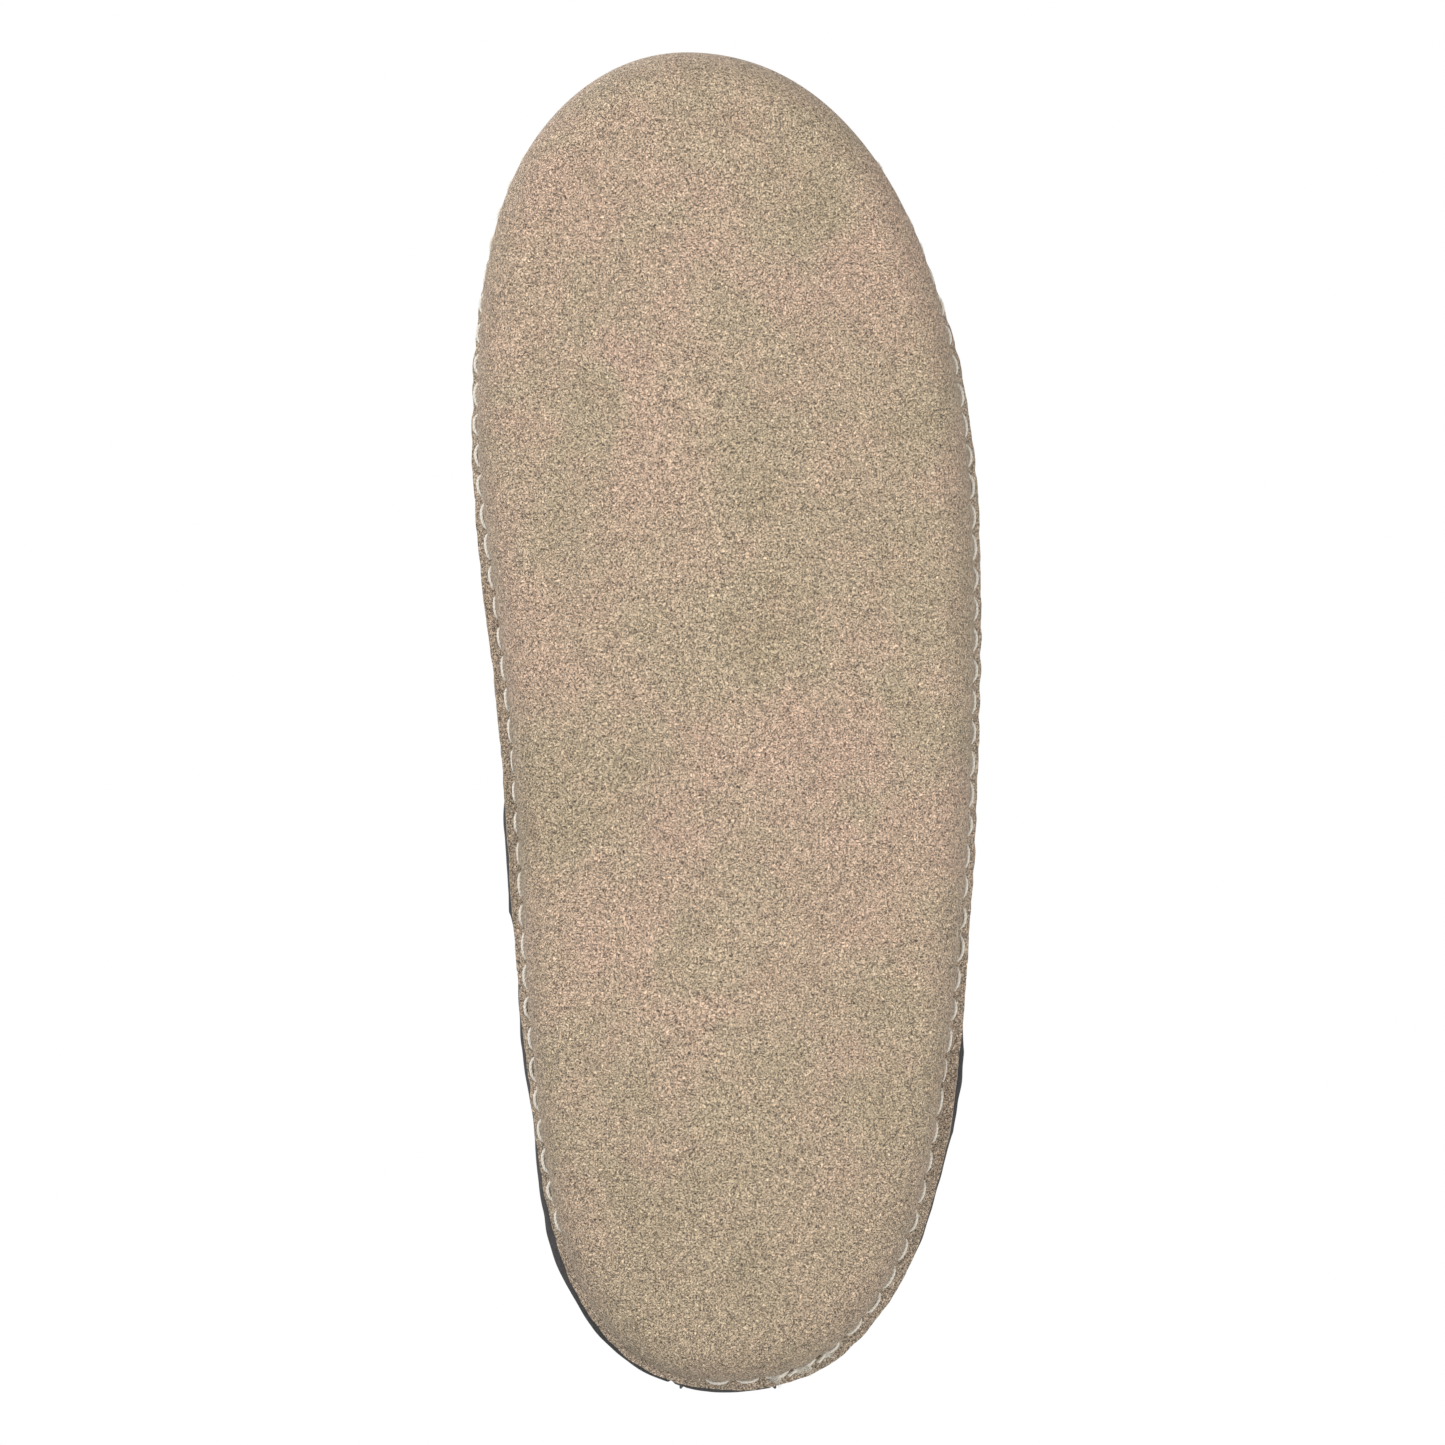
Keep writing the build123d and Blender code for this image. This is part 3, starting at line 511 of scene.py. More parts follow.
def cut_suede(name, dark, light, fuzz):
    """The raw cut edge of a hide: pale fibres packed across its thickness."""
    finish = Finish(name)
    fibres = finish.grain(0.35, 3.0, 0.7, 0.6, finish.stretched(1.0, 1.0, 0.35))
    patches = finish.grain(3.0, 2.0, 0.5)
    pile = finish.steps(fibres, 0.32, 0.68)
    colour = finish.blend(pile * 0.75 + patches * 0.25, dark, light)
    return finish.set(Base_Color=colour, Roughness=0.95, Normal=finish.relief(pile, fuzz, 0.8),
                      Specular_IOR_Level=0.1, Sheen_Weight=0.25)


sole_suede = tan_suede()
sole_cut = cut_suede("tan_suede_cut", tone(150, 133, 112), tone(214, 200, 180), 0.3)
print("suede layers:", len(sole_suede.node_tree.nodes), "nodes")

# %% [markdown]
# ## Charcoal suede and the binding
# The upper is the same kind of hide, dyed charcoal. Dyed nap looks darkest where it is pressed flat
# and greyer where the tips catch light, along folds and gathers, so a second layer lifts the colour
# on the puckers. The binding is a thinner, smoother strip cut from the grain side, with fine pores.

# %% Finishes of the upper
def charcoal_suede():
    finish = Finish("charcoal_suede")
    broad = finish.grain(38.0, 3.0, 0.55, 0.6)
    patch = finish.grain(9.0, 3.0, 0.6, 1.0)
    worms = finish.grain(1.0, 2.5, 0.62, 1.6)
    fuzz = finish.grain(0.4, 2.0, 0.6)
    nap = finish.steps(worms, 0.32, 0.68) * 0.7 + finish.steps(fuzz, 0.3, 0.7) * 0.3
    colour = finish.blend(finish.steps(broad, 0.38, 0.62), tone(50, 48, 49), tone(66, 63, 63))
    colour = finish.blend(finish.steps(patch, 0.45, 0.7) * 0.45, colour, tone(82, 78, 76))
    # Painted highlight: a lit grey is blended into the colour on pleat crests, seam ridges, rounded edges
    # and the flange, where the nap tips would catch light.
    painted_highlight = finish.share("painted_highlight")
    colour = finish.blend(painted_highlight * 0.55, colour, tone(112, 108, 105))
    colour = finish.scale(colour, 0.62 + nap * 0.72)
    soft = finish.relief(patch, 0.9, 0.35)
    bump = finish.relief(nap, 0.30, 0.75, below=soft)
    return finish.set(Base_Color=colour, Roughness=0.88 + nap * 0.1, Normal=bump, Sheen_Weight=0.08,
                      Sheen_Roughness=0.5, Specular_IOR_Level=0.15)


def binding_leather():
    finish = Finish("binding_leather")
    pores = finish.node("ShaderNodeTexVoronoi", {"feature": "DISTANCE_TO_EDGE"},
                        {"Vector": finish.place, "Scale": 1100.0})
    broad = finish.grain(24.0, 3.0, 0.6)
    fine = finish.grain(2.2, 3.0, 0.6)
    pebble = finish.steps(pores, 0.0, 0.10)
    # Painted highlight: a lit grey is blended into the binding's colour along its crown and on its wrinkle
    # crests.
    painted_highlight = finish.share("painted_highlight")
    colour = finish.blend(finish.steps(broad, 0.35, 0.65), tone(44, 43, 45), tone(60, 58, 59))
    colour = finish.blend(painted_highlight * 0.6, colour, tone(98, 93, 89))
    colour = finish.scale(colour, 0.78 + pebble * 0.2 + fine * 0.12)
    bump = finish.relief(pebble * 0.7 + fine * 0.5, 0.12, 0.6)
    return finish.set(Base_Color=colour, Roughness=0.52 + fine * 0.24, Normal=bump,
                      Specular_IOR_Level=0.38, Sheen_Weight=0.05)


upper_suede = charcoal_suede()
upper_cut = cut_suede("charcoal_suede_cut", tone(70, 69, 70), tone(128, 125, 122), 0.3)
binding_skin = binding_leather()

# %% [markdown]
# ## Fleece, foam, board and thread
# The lining is natural wool fleece: curls a few millimetres across, paler at their tips and shaded
# between them. The curls are real bumps in the mesh, and the finish adds the fibres. The foam is full
# of open cells, the insole board is pressed fibre, and the threads are spun from many fine hairs.

# %% Finishes of the inside and of the thread
def fleece():
    finish = Finish("wool_fleece")
    curl = finish.share("curl")
    fibres = finish.grain(0.8, 4.0, 0.7, 2.2)
    locks = finish.grain(3.2, 3.0, 0.6, 1.4)
    broad = finish.grain(28.0, 2.0, 0.5)
    colour = finish.blend(finish.steps(broad, 0.35, 0.65), tone(222, 211, 190), tone(231, 223, 206))
    colour = finish.blend((1 - curl) * 0.62, colour, tone(176, 158, 130))
    colour = finish.scale(colour, 0.80 + finish.steps(fibres, 0.3, 0.7) * 0.22 + locks * 0.10)
    bump = finish.relief(finish.steps(fibres, 0.25, 0.75) * 0.6 + locks * 0.6, 0.7, 0.8)
    return finish.set(Base_Color=colour, Roughness=0.96, Normal=bump, Sheen_Weight=0.35,
                      Sheen_Roughness=0.4, Specular_IOR_Level=0.1)


def open_foam():
    finish = Finish("open_cell_foam")
    cells = finish.node("ShaderNodeTexVoronoi", {}, {"Vector": finish.place, "Scale": 900.0})
    broad = finish.grain(20.0, 3.0, 0.6)
    walls = finish.steps(cells, 0.15, 0.55)
    colour = finish.blend(broad, tone(226, 219, 196), tone(208, 198, 170))
    colour = finish.scale(colour, 0.66 + walls * 0.36)
    return finish.set(Base_Color=colour, Roughness=0.95, Normal=finish.relief(walls, 0.5, 0.8))


def fibre_board():
    finish = Finish("fibre_board")
    flakes = finish.grain(1.8, 4.0, 0.7, 2.5)
    broad = finish.grain(30.0, 2.0, 0.5)
    colour = finish.blend(finish.steps(flakes, 0.35, 0.65), tone(172, 143, 108), tone(196, 170, 134))
    colour = finish.blend(finish.steps(broad, 0.45, 0.7) * 0.4, colour, tone(150, 122, 90))
    return finish.set(Base_Color=colour, Roughness=0.9, Normal=finish.relief(flakes, 0.2, 0.7))


def spun_thread(name, shade, light):
    finish = Finish(name)
    hairs = finish.grain(0.22, 3.0, 0.7, 1.0)
    slub = finish.grain(2.6, 2.0, 0.5)
    colour = finish.blend(finish.steps(hairs, 0.3, 0.7) * 0.7 + slub * 0.3, shade, light)
    bump = finish.relief(finish.steps(hairs, 0.3, 0.7), 0.07, 0.7)
    return finish.set(Base_Color=colour, Roughness=0.8, Normal=bump, Sheen_Weight=0.2,
                      Specular_IOR_Level=0.25)


wool = fleece()
foam = open_foam()
board = fibre_board()
seam_thread = spun_thread("off_white_thread", tone(226, 218, 202), tone(255, 251, 242))
fine_thread = spun_thread("charcoal_thread", tone(46, 46, 49), tone(104, 102, 102))

# %% [markdown]
# ## Where the needle went
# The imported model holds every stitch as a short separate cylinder. Reading each one back gives the
# two needle holes it runs between, so the gathers in the leather can line up with the real thread.

# %% Stitches read from the model
def stitch_runs(node):
    """Start and end of each separate stitch of a node, in millimetres."""
    shape = bmesh.new()
    shape.from_mesh(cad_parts[node].data)
    bmesh.ops.remove_doubles(shape, verts=shape.verts, dist=1e-7)
    seen, runs = set(), []
    for first in shape.verts:
        if first in seen:
            continue
        group, queue = [], [first]
        seen.add(first)
        while queue:
            vert = queue.pop()
            group.append(vert.co[:])
            for edge in vert.link_edges:
                other = edge.other_vert(vert)
                if other not in seen:
                    seen.add(other)
                    queue.append(other)
        points = np.array(group) / MM
        centre = points.mean(0)
        axis = np.linalg.svd(points - centre, full_matrices=False)[2][0]
        half = np.abs((points - centre) @ axis).max()
        runs.append((centre - axis * half, centre + axis * half))
    shape.free()
    return np.array(runs)


def turn_of(points, path, path_theta):
    """The theta of the path's point nearest to each given point."""
    return np.array([path_theta[np.argmin(((path - p)**2).sum(1))] for p in points])


seam_runs = stitch_runs("sole_seam_stitches")
fine_theta = np.linspace(0, TURN, 7200, endpoint=False)
seam_path = flange_point(fine_theta, CREASE_DIP + SEAM_THREAD, -SEAM_THREAD / 2)
seam_length = np.concatenate([[0], np.cumsum(np.linalg.norm(np.diff(seam_path, axis=0), axis=1))])
seam_round = seam_length[-1] + np.linalg.norm(seam_path[0] - seam_path[-1])
needle_ends = np.stack([turn_of(seam_runs[:, k], seam_path, fine_theta) for k in (0, 1)], 1)
needle_ends = np.interp(needle_ends, fine_theta, seam_length)
crossing = np.abs(needle_ends[:, 0] - needle_ends[:, 1]) > seam_round / 2
middles = np.sort(np.where(crossing, 0.0, needle_ends.mean(1)))
print(len(seam_runs), "seam stitches,", round(seam_round / len(seam_runs), 2), "mm apart")


HOLE_REACH = 1.15  # mm from a needle hole over which the leather is drawn in


def pull(theta):
    """1 where the thread dives through the leather between two stitches, falling to 0 beside it."""
    place = np.interp(np.mod(theta, TURN), fine_theta, seam_length)
    pitch = seam_round / len(seam_runs)
    phase = np.mod(place - middles[len(middles) // 2], pitch) / pitch
    away = np.abs(phase - 0.5) * pitch
    return np.exp(-(away / HOLE_REACH)**2)


# %% [markdown]
# ## The wrapped sole
# The sole is one piece of suede. Its tread is flat, its border is rounded by the filler inside, and
# between the needle holes the leather puffs out, so the edge reads as a row of small scallops. Beyond
# the crease the hide turns outward into the flange, whose cut edge was trimmed by hand and wanders a
# little. The border is made of closed rings, and the tread of rows that join one side to the other.

# %% Sole
COLUMNS = 1320
PUFF_SWELL, HOLE_DRAW, PUFF_FADE = 0.95, 0.30, 3.3
EDGE_WANDER, EDGE_NOTCHES = 0.22, 0.07
round_theta = np.linspace(0, TURN, COLUMNS, endpoint=False)


def puff(below):
    """How far the leather swells between needle holes, at a height in millimetres below the crease."""
    wander = 0.14 * lumps(outline(round_theta), 9.0, 2, 40.0)
    swell = PUFF_SWELL * (1 - pull(round_theta)) - HOLE_DRAW + wander
    return swell * np.exp(-(below / PUFF_FADE)**2)


def border_rings(steps, thickness, puffed):
    """Rings from the tread's edge to the widest line of the cup."""
    centre, high = puff_inset(round_theta) + EDGE_ROUNDING, puff_height(round_theta)
    rings = []
    for a in np.linspace(0, math.pi / 2, steps):
        inset = centre - (EDGE_ROUNDING - thickness) * math.sin(a)
        height = high - (high - thickness) * math.cos(a)
        swell = puffed * puff(crease_height(round_theta) - height)
        points = section(round_theta, inset - swell, height)
        rings.append(points)
    return rings


def flange_sag(theta, share):
    """Small wander of the flange, growing towards its free edge."""
    edge = outline(theta)
    wander = lumps(edge, 13.0, 3, 2.0) * 0.45 + lumps(edge, 4.0, 2, 5.0) * 0.18
    return share**1.5 * (wander + 0.22 * (pull(theta) - 0.3))


def crease_rings(steps):
    """From the widest line round and in to the crease, drawn deeper at the needle holes."""
    depth = crease_inset(round_theta) - puff_inset(round_theta)
    low, high = puff_height(round_theta), crease_height(round_theta)
    tight = pull(round_theta)
    rings = []
    for b in np.linspace(0, math.pi / 2, steps)[1:]:
        height = low + (high - low) * math.sin(b)
        swell = puff(high - height) * math.cos(b)**0.25
        inset = puff_inset(round_theta) + (depth + 0.45 * tight) * (1 - math.cos(b)) - swell
        rings.append(section(round_theta, inset, height))
    return rings


def flange_rings(shares, lift):
    width = cut_width(round_theta) + EDGE_WANDER * lumps(outline(round_theta), 7.0, 3, 9.0)
    return [flange_point(round_theta, width * s, lift + flange_sag(round_theta, s)) for s in shares]


def rim_rings(lift_from, lift_to):
    """The cut edge of the flange, very slightly crowned and uneven."""
    width = cut_width(round_theta) + EDGE_WANDER * lumps(outline(round_theta), 7.0, 3, 9.0)
    rings = []
    for t in (0.12, 0.5, 0.88):
        rough = EDGE_NOTCHES * lumps(outline(round_theta) + [0, 0, 9 * t], 0.9, 2, t)
        crown = 0.10 * math.sin(math.pi * t)
        lift = lift_from + (lift_to - lift_from) * t
        rings.append(flange_point(round_theta, width + crown + rough, lift + flange_sag(round_theta, 1.0)))
    return rings


def tread_rows(edge, across, lift):
    """Rows of points over the flat tread, from the big-toe side to the outer side."""
    half = COLUMNS // 2
    outer = edge[:half + 1]
    inner = edge[(-np.arange(half + 1)) % COLUMNS]
    share = np.linspace(0, 1, across)[None, :, None]
    rows = inner[:, None] * (1 - share) + outer[:, None] * share
    rows[..., 2] += lift(rows, share[..., 0])
    return rows


ARCH_LIFT, TREAD_WAVES = 0.7, 0.22


def tread_lift(rows, share):
    """A soft sole never lies dead flat: the arch is a little clear of the ground."""
    middle = (4 * share * (1 - share))**1.5
    arch = ARCH_LIFT * np.exp(-((rows[..., 1] - 18) / 38)**2) * smooth(1.2 - 1.6 * share)
    waves = TREAD_WAVES * (lumps(rows, 30.0, 2, 1.0) + 0.55)
    ends = smooth(1 - (np.abs(rows[..., 1]) - 105) / 25)
    return middle * ends * np.maximum(arch + waves, 0.0)


def sole():
    outside = border_rings(16, 0.0, 1.0)
    crease = crease_rings(6)
    under = flange_rings((0.12, 0.3, 0.5, 0.7, 0.88, 1.0), 0.0)
    rim = rim_rings(0.0, SOLE_LEATHER)
    over = flange_rings((1.0, 0.6, 0.2), SOLE_LEATHER)
    shoulder = [section(round_theta, crease_inset(round_theta) + SOLE_LEATHER, crease_height(round_theta))]
    inside = border_rings(7, SOLE_LEATHER, 0.0)[::-1]
    rings = np.array(outside + crease + under + rim + over + shoulder + inside)
    faces = grid_faces(len(rings), COLUMNS, 0, True)
    marks = np.zeros(len(rings) - 1, int)
    first_rim = len(outside) + len(crease) + len(under) - 1
    marks[first_rim:first_rim + 4] = 1
    marks = np.repeat(marks, COLUMNS)
    # How much painted shade each point gets: rising over the rounded border, full on the crease and the
    # flange.
    border = np.concatenate([np.linspace(0, 0.85, len(outside)), np.linspace(0.9, 1, len(crease)),
                             np.full(len(rings) - len(outside) - len(crease), 1.0)])
    border = np.repeat(border, COLUMNS)
    points, quads, kinds, edges = [rings.reshape(-1, 3)], [faces], [marks], [border]
    start = rings.size // 3
    for edge, across, lift in ((outside[0], 72, tread_lift), (inside[-1], 12, lambda rows, share: 0)):
        rows = tread_rows(edge, across, lift)
        sheet = grid_faces(rows.shape[0], across, start, False)
        start += rows.size // 3
        points.append(rows.reshape(-1, 3))
        quads.append(sheet)
        kinds.append(np.zeros(len(sheet), int))
        edges.append(np.zeros(rows.size // 3))
    return make_piece("sole", np.concatenate(points), np.concatenate(quads), [sole_suede, sole_cut],
                      "sole_suede", ["outsole"], np.concatenate(kinds), {"border": np.concatenate(edges)})


sole()

# %% [markdown]
# ## Thread
# Sewing thread is three plies twisted together, and the twist is what the eye reads as thread. Each
# stitch is three thin tubes wound round one arched path whose ends dive into the leather. Curves with
# a bevel would look as good, but plain meshes keep the exact needle holes and export as they are. A
# few stray hairs stand off, because a hand-sewn thread is rubbed every time it is pulled through.

# %% Stitches
def tubes(paths, radii, sides):
    """Closed tubes along many paths of equal length; radii gives a radius for every sample."""
    count, samples = paths.shape[:2]
    ahead = unit(np.gradient(paths, axis=1))
    helper = np.where(np.abs(ahead[..., 2:]) < 0.8, np.array([0, 0, 1.0]), np.array([1.0, 0, 0]))
    first = unit(np.cross(ahead, helper))
    second = np.cross(ahead, first)
    turn = TURN * np.arange(sides) / sides
    ring = first[:, :, None] * np.cos(turn)[:, None] + second[:, :, None] * np.sin(turn)[:, None]
    points = paths[:, :, None] + ring * np.broadcast_to(radii, (count, samples))[:, :, None, None]
    quads = grid_faces(samples, sides, 0, True)
    starts = np.arange(count) * samples * sides
    faces = (quads[None] + starts[:, None, None]).reshape(-1, 4).tolist()
    near = np.arange(sides)[::-1]
    for start in starts:
        faces.append((near + start).tolist())
        faces.append((near[::-1] + start + (samples - 1) * sides).tolist())
    return points.reshape(-1, 3), faces


def twisted(paths, thickness, plies=3, sides=6, pitch=2.4):
    """Plies wound round each path."""
    ahead = unit(np.gradient(paths, axis=1))
    helper = np.where(np.abs(ahead[..., 2:]) < 0.8, np.array([0, 0, 1.0]), np.array([1.0, 0, 0]))
    first = unit(np.cross(ahead, helper))
    second = np.cross(ahead, first)
    steps = np.linalg.norm(np.diff(paths, axis=1), axis=-1)
    run = np.concatenate([np.zeros((len(paths), 1)), np.cumsum(steps, 1)], 1)
    wound = []
    for ply in range(plies):
        turn = (TURN * (run / pitch + ply / plies))[..., None]
        wound.append(paths + (first * np.cos(turn) + second * np.sin(turn)) * thickness * 0.25)
    return tubes(np.concatenate(wound), thickness * 0.29, sides)


def join(parts):
    """Several (points, faces) pairs as one."""
    points, faces, start = [], [], 0
    for part_points, part_faces in parts:
        points.append(part_points)
        faces += [[index + start for index in face] for face in part_faces]
        start += len(part_points)
    return np.concatenate(points), faces


def stray_hairs(paths, per_path, length, thickness, seed):
    """Short curved hairs that stand off a thread."""
    chance = np.random.default_rng(seed)
    picks = np.repeat(np.arange(len(paths)), per_path)
    place = chance.integers(2, paths.shape[1] - 2, len(picks))
    root = paths[picks, place]
    heading = unit(chance.normal(size=(len(picks), 3)))
    bend = unit(chance.normal(size=(len(picks), 3)))
    reach = length * chance.uniform(0.4, 1.0, len(picks))
    t = np.linspace(0, 1, 5)[None, :, None]
    curve = root[:, None] + (heading[:, None] * t + bend[:, None] * t * t * 0.7) * reach[:, None, None]
    return tubes(curve, thickness * np.linspace(1, 0.35, 5), 3)


PLY_PACKING = 0.88  # plies nest, so their circle is a little smaller than the thread
TUCKED = (math.radians(184), math.radians(220))  # stitches here sink into the crease


def seam_paths():
    """The thick thread: arcs round the puffs between needle holes, some looser than others."""
    chance = np.random.default_rng(11)
    place = np.linspace(-0.13, 1.13, 18)
    first, last = needle_ends[:, :1].copy(), needle_ends[:, 1:].copy()
    over = np.abs(first - last) > seam_round / 2
    first = np.where(over & (first < seam_round / 2), first + seam_round, first)
    last = np.where(over & (last < seam_round / 2), last + seam_round, last)
    stretch = chance.uniform(0.84, 1.04, len(first))[:, None]
    middle, half = (first + last) / 2, (last - first) / 2 * stretch
    run = np.mod(middle + half * (2 * place - 1), seam_round)
    theta = np.interp(run, seam_length, fine_theta)
    arch = 1 - np.abs(2 * place - 1)**2.8
    loose = chance.uniform(0.7, 1.2, len(first))[:, None]
    lift = -(SEAM_THREAD / 2 + 0.45) * np.clip(arch, -0.4, 1) * loose + 1.1 * np.maximum(-arch, 0)
    tucked = (theta[:, 9:10] > TUCKED[0]) & (theta[:, 9:10] < TUCKED[1])
    bow = chance.normal(0.42, 0.10, len(first))[:, None] * np.clip(arch, 0, 1)
    reach = np.where(tucked, -0.1, CREASE_DIP + 0.12 + bow)
    return flange_point(theta, reach, np.where(tucked, lift * 0.3, lift))


def arched(runs, height, dive, samples=12):
    """Paths between the ends of straight stitches, arched away from the inside of the shoe."""
    middle = runs.mean(1)
    inside = stack(centre_line(0.5 + middle[:, 1] / SHOE_LENGTH), middle[:, 1] * 0.92, 24.0)
    away = unit(middle - inside)[:, None]
    place = np.linspace(-0.12, 1.12, samples)[None, :, None]
    arch = 1 - np.abs(2 * place - 1)**2.6
    straight = runs[:, :1] + (runs[:, 1:] - runs[:, :1]) * place
    return straight + away * (height * np.maximum(arch, 0) + dive * np.minimum(arch, 0) * 2.5)


thick = seam_paths()
make_piece("seam_stitching", *join([twisted(thick, SEAM_THREAD * PLY_PACKING),
                                   stray_hairs(thick, 9, 0.9, 0.022, 5)]),
           [seam_thread], "seam_thread", ["sole_seam_stitches"])
for node, height, width, finish, slot in (
        ("apron_seam_stitches", 1.5, SEAM_THREAD, seam_thread, "seam_thread"),
        ("side_seam_stitches_medial", 0.12, FINE_THREAD, fine_thread, "fine_thread"),
        ("side_seam_stitches_lateral", 0.12, FINE_THREAD, fine_thread, "fine_thread"),
        ("backstay_stitches", 0.12, FINE_THREAD, fine_thread, "fine_thread"),
        ("binding_stitches", 0.15, FINE_THREAD, fine_thread, "fine_thread")):
    paths = arched(stitch_runs(node), height, 0.9)
    make_piece(node.replace("stitches", "stitching"), *twisted(paths, width, sides=5, pitch=1.8),
               [finish], slot, [node])

# %% [markdown]
# ## Frayed ends
# Where the hand seam starts and stops, the thread is cut and its plies open into a little tuft. Each
# tuft is a fan of separate fibres that leave one root, droop and curl at their tips.

# %% Thread ends
def tuft(root, heading, seed, fibres=64, length=2.4):
    chance = np.random.default_rng(seed)
    t = np.linspace(0, 1, 9)[None, :, None]
    spray = unit(heading + 0.38 * chance.normal(size=(fibres, 3)) * [1, 1, 0.5])[:, None]
    curl = unit(chance.normal(size=(fibres, 3)) * [1, 1, 0.4])[:, None]
    reach = (length * chance.uniform(0.3, 1.0, fibres))[:, None, None]
    start = root + 0.18 * chance.normal(size=(fibres, 1, 3)) * [1, 1, 0.4]
    curve = start + reach * (spray * t + curl * 0.42 * t**2)
    return tubes(curve, 0.07 * np.linspace(1.0, 0.35, 9), 4)


ends = stitch_runs("seam_thread_ends")
fans = []
for number, theta in enumerate(turn_of(ends.mean(1), seam_path, fine_theta)):
    here = flange_point(theta, CREASE_DIP + 0.5, -0.75)
    ahead = unit(flange_point(theta + 0.01, CREASE_DIP + 0.7, -0.85) - here)
    heading = ahead if number % 2 else -ahead
    fans.append(tuft(here, unit(heading + outward(theta) * 0.25), 21 + number))
    tail = np.linspace(here - heading * 1.6, here + heading * 0.6, 10)
    fans.append(twisted(tail[None], SEAM_THREAD * PLY_PACKING))
make_piece("seam_thread_tufts", *join(fans), [seam_thread], "seam_thread", ["seam_thread_ends"])

# %% [markdown]
# ## Cutting the upper
# The upper is cut as a vamp, an apron and two quarters. Their borders are curves drawn on the wall:
# a slanted seam on each side, and the U of the apron seam. Bisection finds where each upright line of
# the wall crosses them, so every panel becomes a plain grid that ends exactly on its seam.

# %% Seam lines on the wall
def crossing_of(outside, low, high):
    """Where an array function that is positive at low turns negative, for each element."""
    for _ in range(26):
        middle = (low + high) / 2
        positive = outside(middle) > 0
        low, high = np.where(positive, middle, low), np.where(positive, high, middle)
    return (low + high) / 2


def side_seam_y(z):
    return -SHOE_LENGTH / 2 + SIDE_SEAM_TO_TOE - SIDE_SEAM_LEAN * z / THROAT_HEIGHT


def side_seam_turn(rise, side, clearance=0.0):
    """Angle from the toe at which the wall meets the side seam, for each rise."""
    rise = np.asarray(rise, float)

    def in_front(angle):
        point = wall(side * angle, rise)
        return side_seam_y(point[..., 2]) + clearance - point[..., 1]
    return crossing_of(in_front, np.full(rise.shape, 0.9), np.full(rise.shape, 2.4))


def apron_outline(shrink=0.0):
    """The U of the apron seam in plan."""
    throat_y = -SHOE_LENGTH / 2 + THROAT_TO_TOE
    tip_y = -SHOE_LENGTH / 2 + APRON_TO_TOE + shrink
    wide, narrow = APRON_HALF_WIDTH - shrink, APRON_THROAT_HALF_WIDTH - shrink
    wide_y = tip_y + wide
    half = [(narrow, throat_y + APRON_HALF_WIDTH), (narrow, throat_y),
            ((wide + narrow) / 2 + 1, (wide_y + throat_y) / 2), (wide, wide_y),
            (wide * 0.66, tip_y + wide * 0.25)]
    knots = [(-x, y) for x, y in half] + [(0, tip_y)] + half[::-1]
    share = np.linspace(0, 1, 400)
    x, y = (spread([knot[axis] for knot in knots], share) for axis in (0, 1))
    return x + centre_line(0.5 + y / SHOE_LENGTH), y


def within(points, border):
    """Whether each point lies inside the apron's U, seen from above."""
    x, y = points[..., 0, None], points[..., 1, None]
    x0, y0 = border
    x1, y1 = np.roll(x0, -1), np.roll(y0, -1)
    spans = (y0 > y) != (y1 > y)
    cut = x0 + (y - y0) * (x1 - x0) / np.where(y1 == y0, 1e-9, y1 - y0)
    return (spans & (x < cut)).sum(-1) % 2 == 1


apron_border = apron_outline()
probe = np.linspace(-1.9, 1.9, 1521)


def beyond_apron(rise):
    return np.where(within(wall(probe, rise), apron_border), -1.0, 1.0)


probe_rise = crossing_of(beyond_apron, np.zeros(probe.shape), np.ones(probe.shape))
probe_rise = np.where(beyond_apron(np.ones(probe.shape)) < 0, probe_rise, 1.0)


def apron_rise(theta):
    """Rise at which the wall passes under the apron; 1 where it never does."""
    return np.interp(theta, probe, probe_rise)


reach_outer = probe[probe_rise < 1].max()
reach_inner = -probe[probe_rise < 1].min()
print("apron reaches", round(math.degrees(reach_outer)), "and", round(math.degrees(reach_inner)), "degrees")

# %% [markdown]
# ## Gathers
# The vamp is longer round the toe than the apron it is sewn to, so the extra leather stands up in
# pleats, one between each pair of stitches, and the seam makes a raised ridge. The pleats fade as they
# run down the wall. They are pushed out along the wall's own normal, which keeps the seam line true.

# %% Shape of the gathers
apron_needles = stitch_runs("apron_seam_stitches").mean(1)
apron_theta = np.linspace(-reach_inner, reach_outer, 900)
apron_line = wall(apron_theta, apron_rise(apron_theta))
apron_run = np.concatenate([[0], np.cumsum(np.linalg.norm(np.diff(apron_line, axis=0), axis=1))])
needle_run = np.sort(np.interp(turn_of(apron_needles, apron_line, apron_theta), apron_theta, apron_run))


def pleats(theta):
    """0 at each apron stitch, 1 half-way between two of them."""
    run = np.interp(theta, apron_theta, apron_run)
    after = np.clip(np.searchsorted(needle_run, run), 1, len(needle_run) - 1)
    low, high = needle_run[after - 1], needle_run[after]
    share = np.clip((run - low) / (high - low), 0, 1)
    return np.sin(math.pi * share)**0.8


def toe_share(theta):
    """1 at the toe, fading to 0 along the sides of the throat."""
    return 0.25 + 0.75 * smooth(1.25 - np.abs(theta) / 1.15)


def seam_ridge(theta, away, height):
    """Outward push of the leather at a distance in millimetres from the apron seam."""
    ridge = height * np.exp(-(away / 2.1)**2)
    folded = (1.25 * pleats(theta) - 0.35) * toe_share(theta) * np.exp(-(away / 7.5)**1.2)
    return ridge + folded * smooth(away / 0.8)


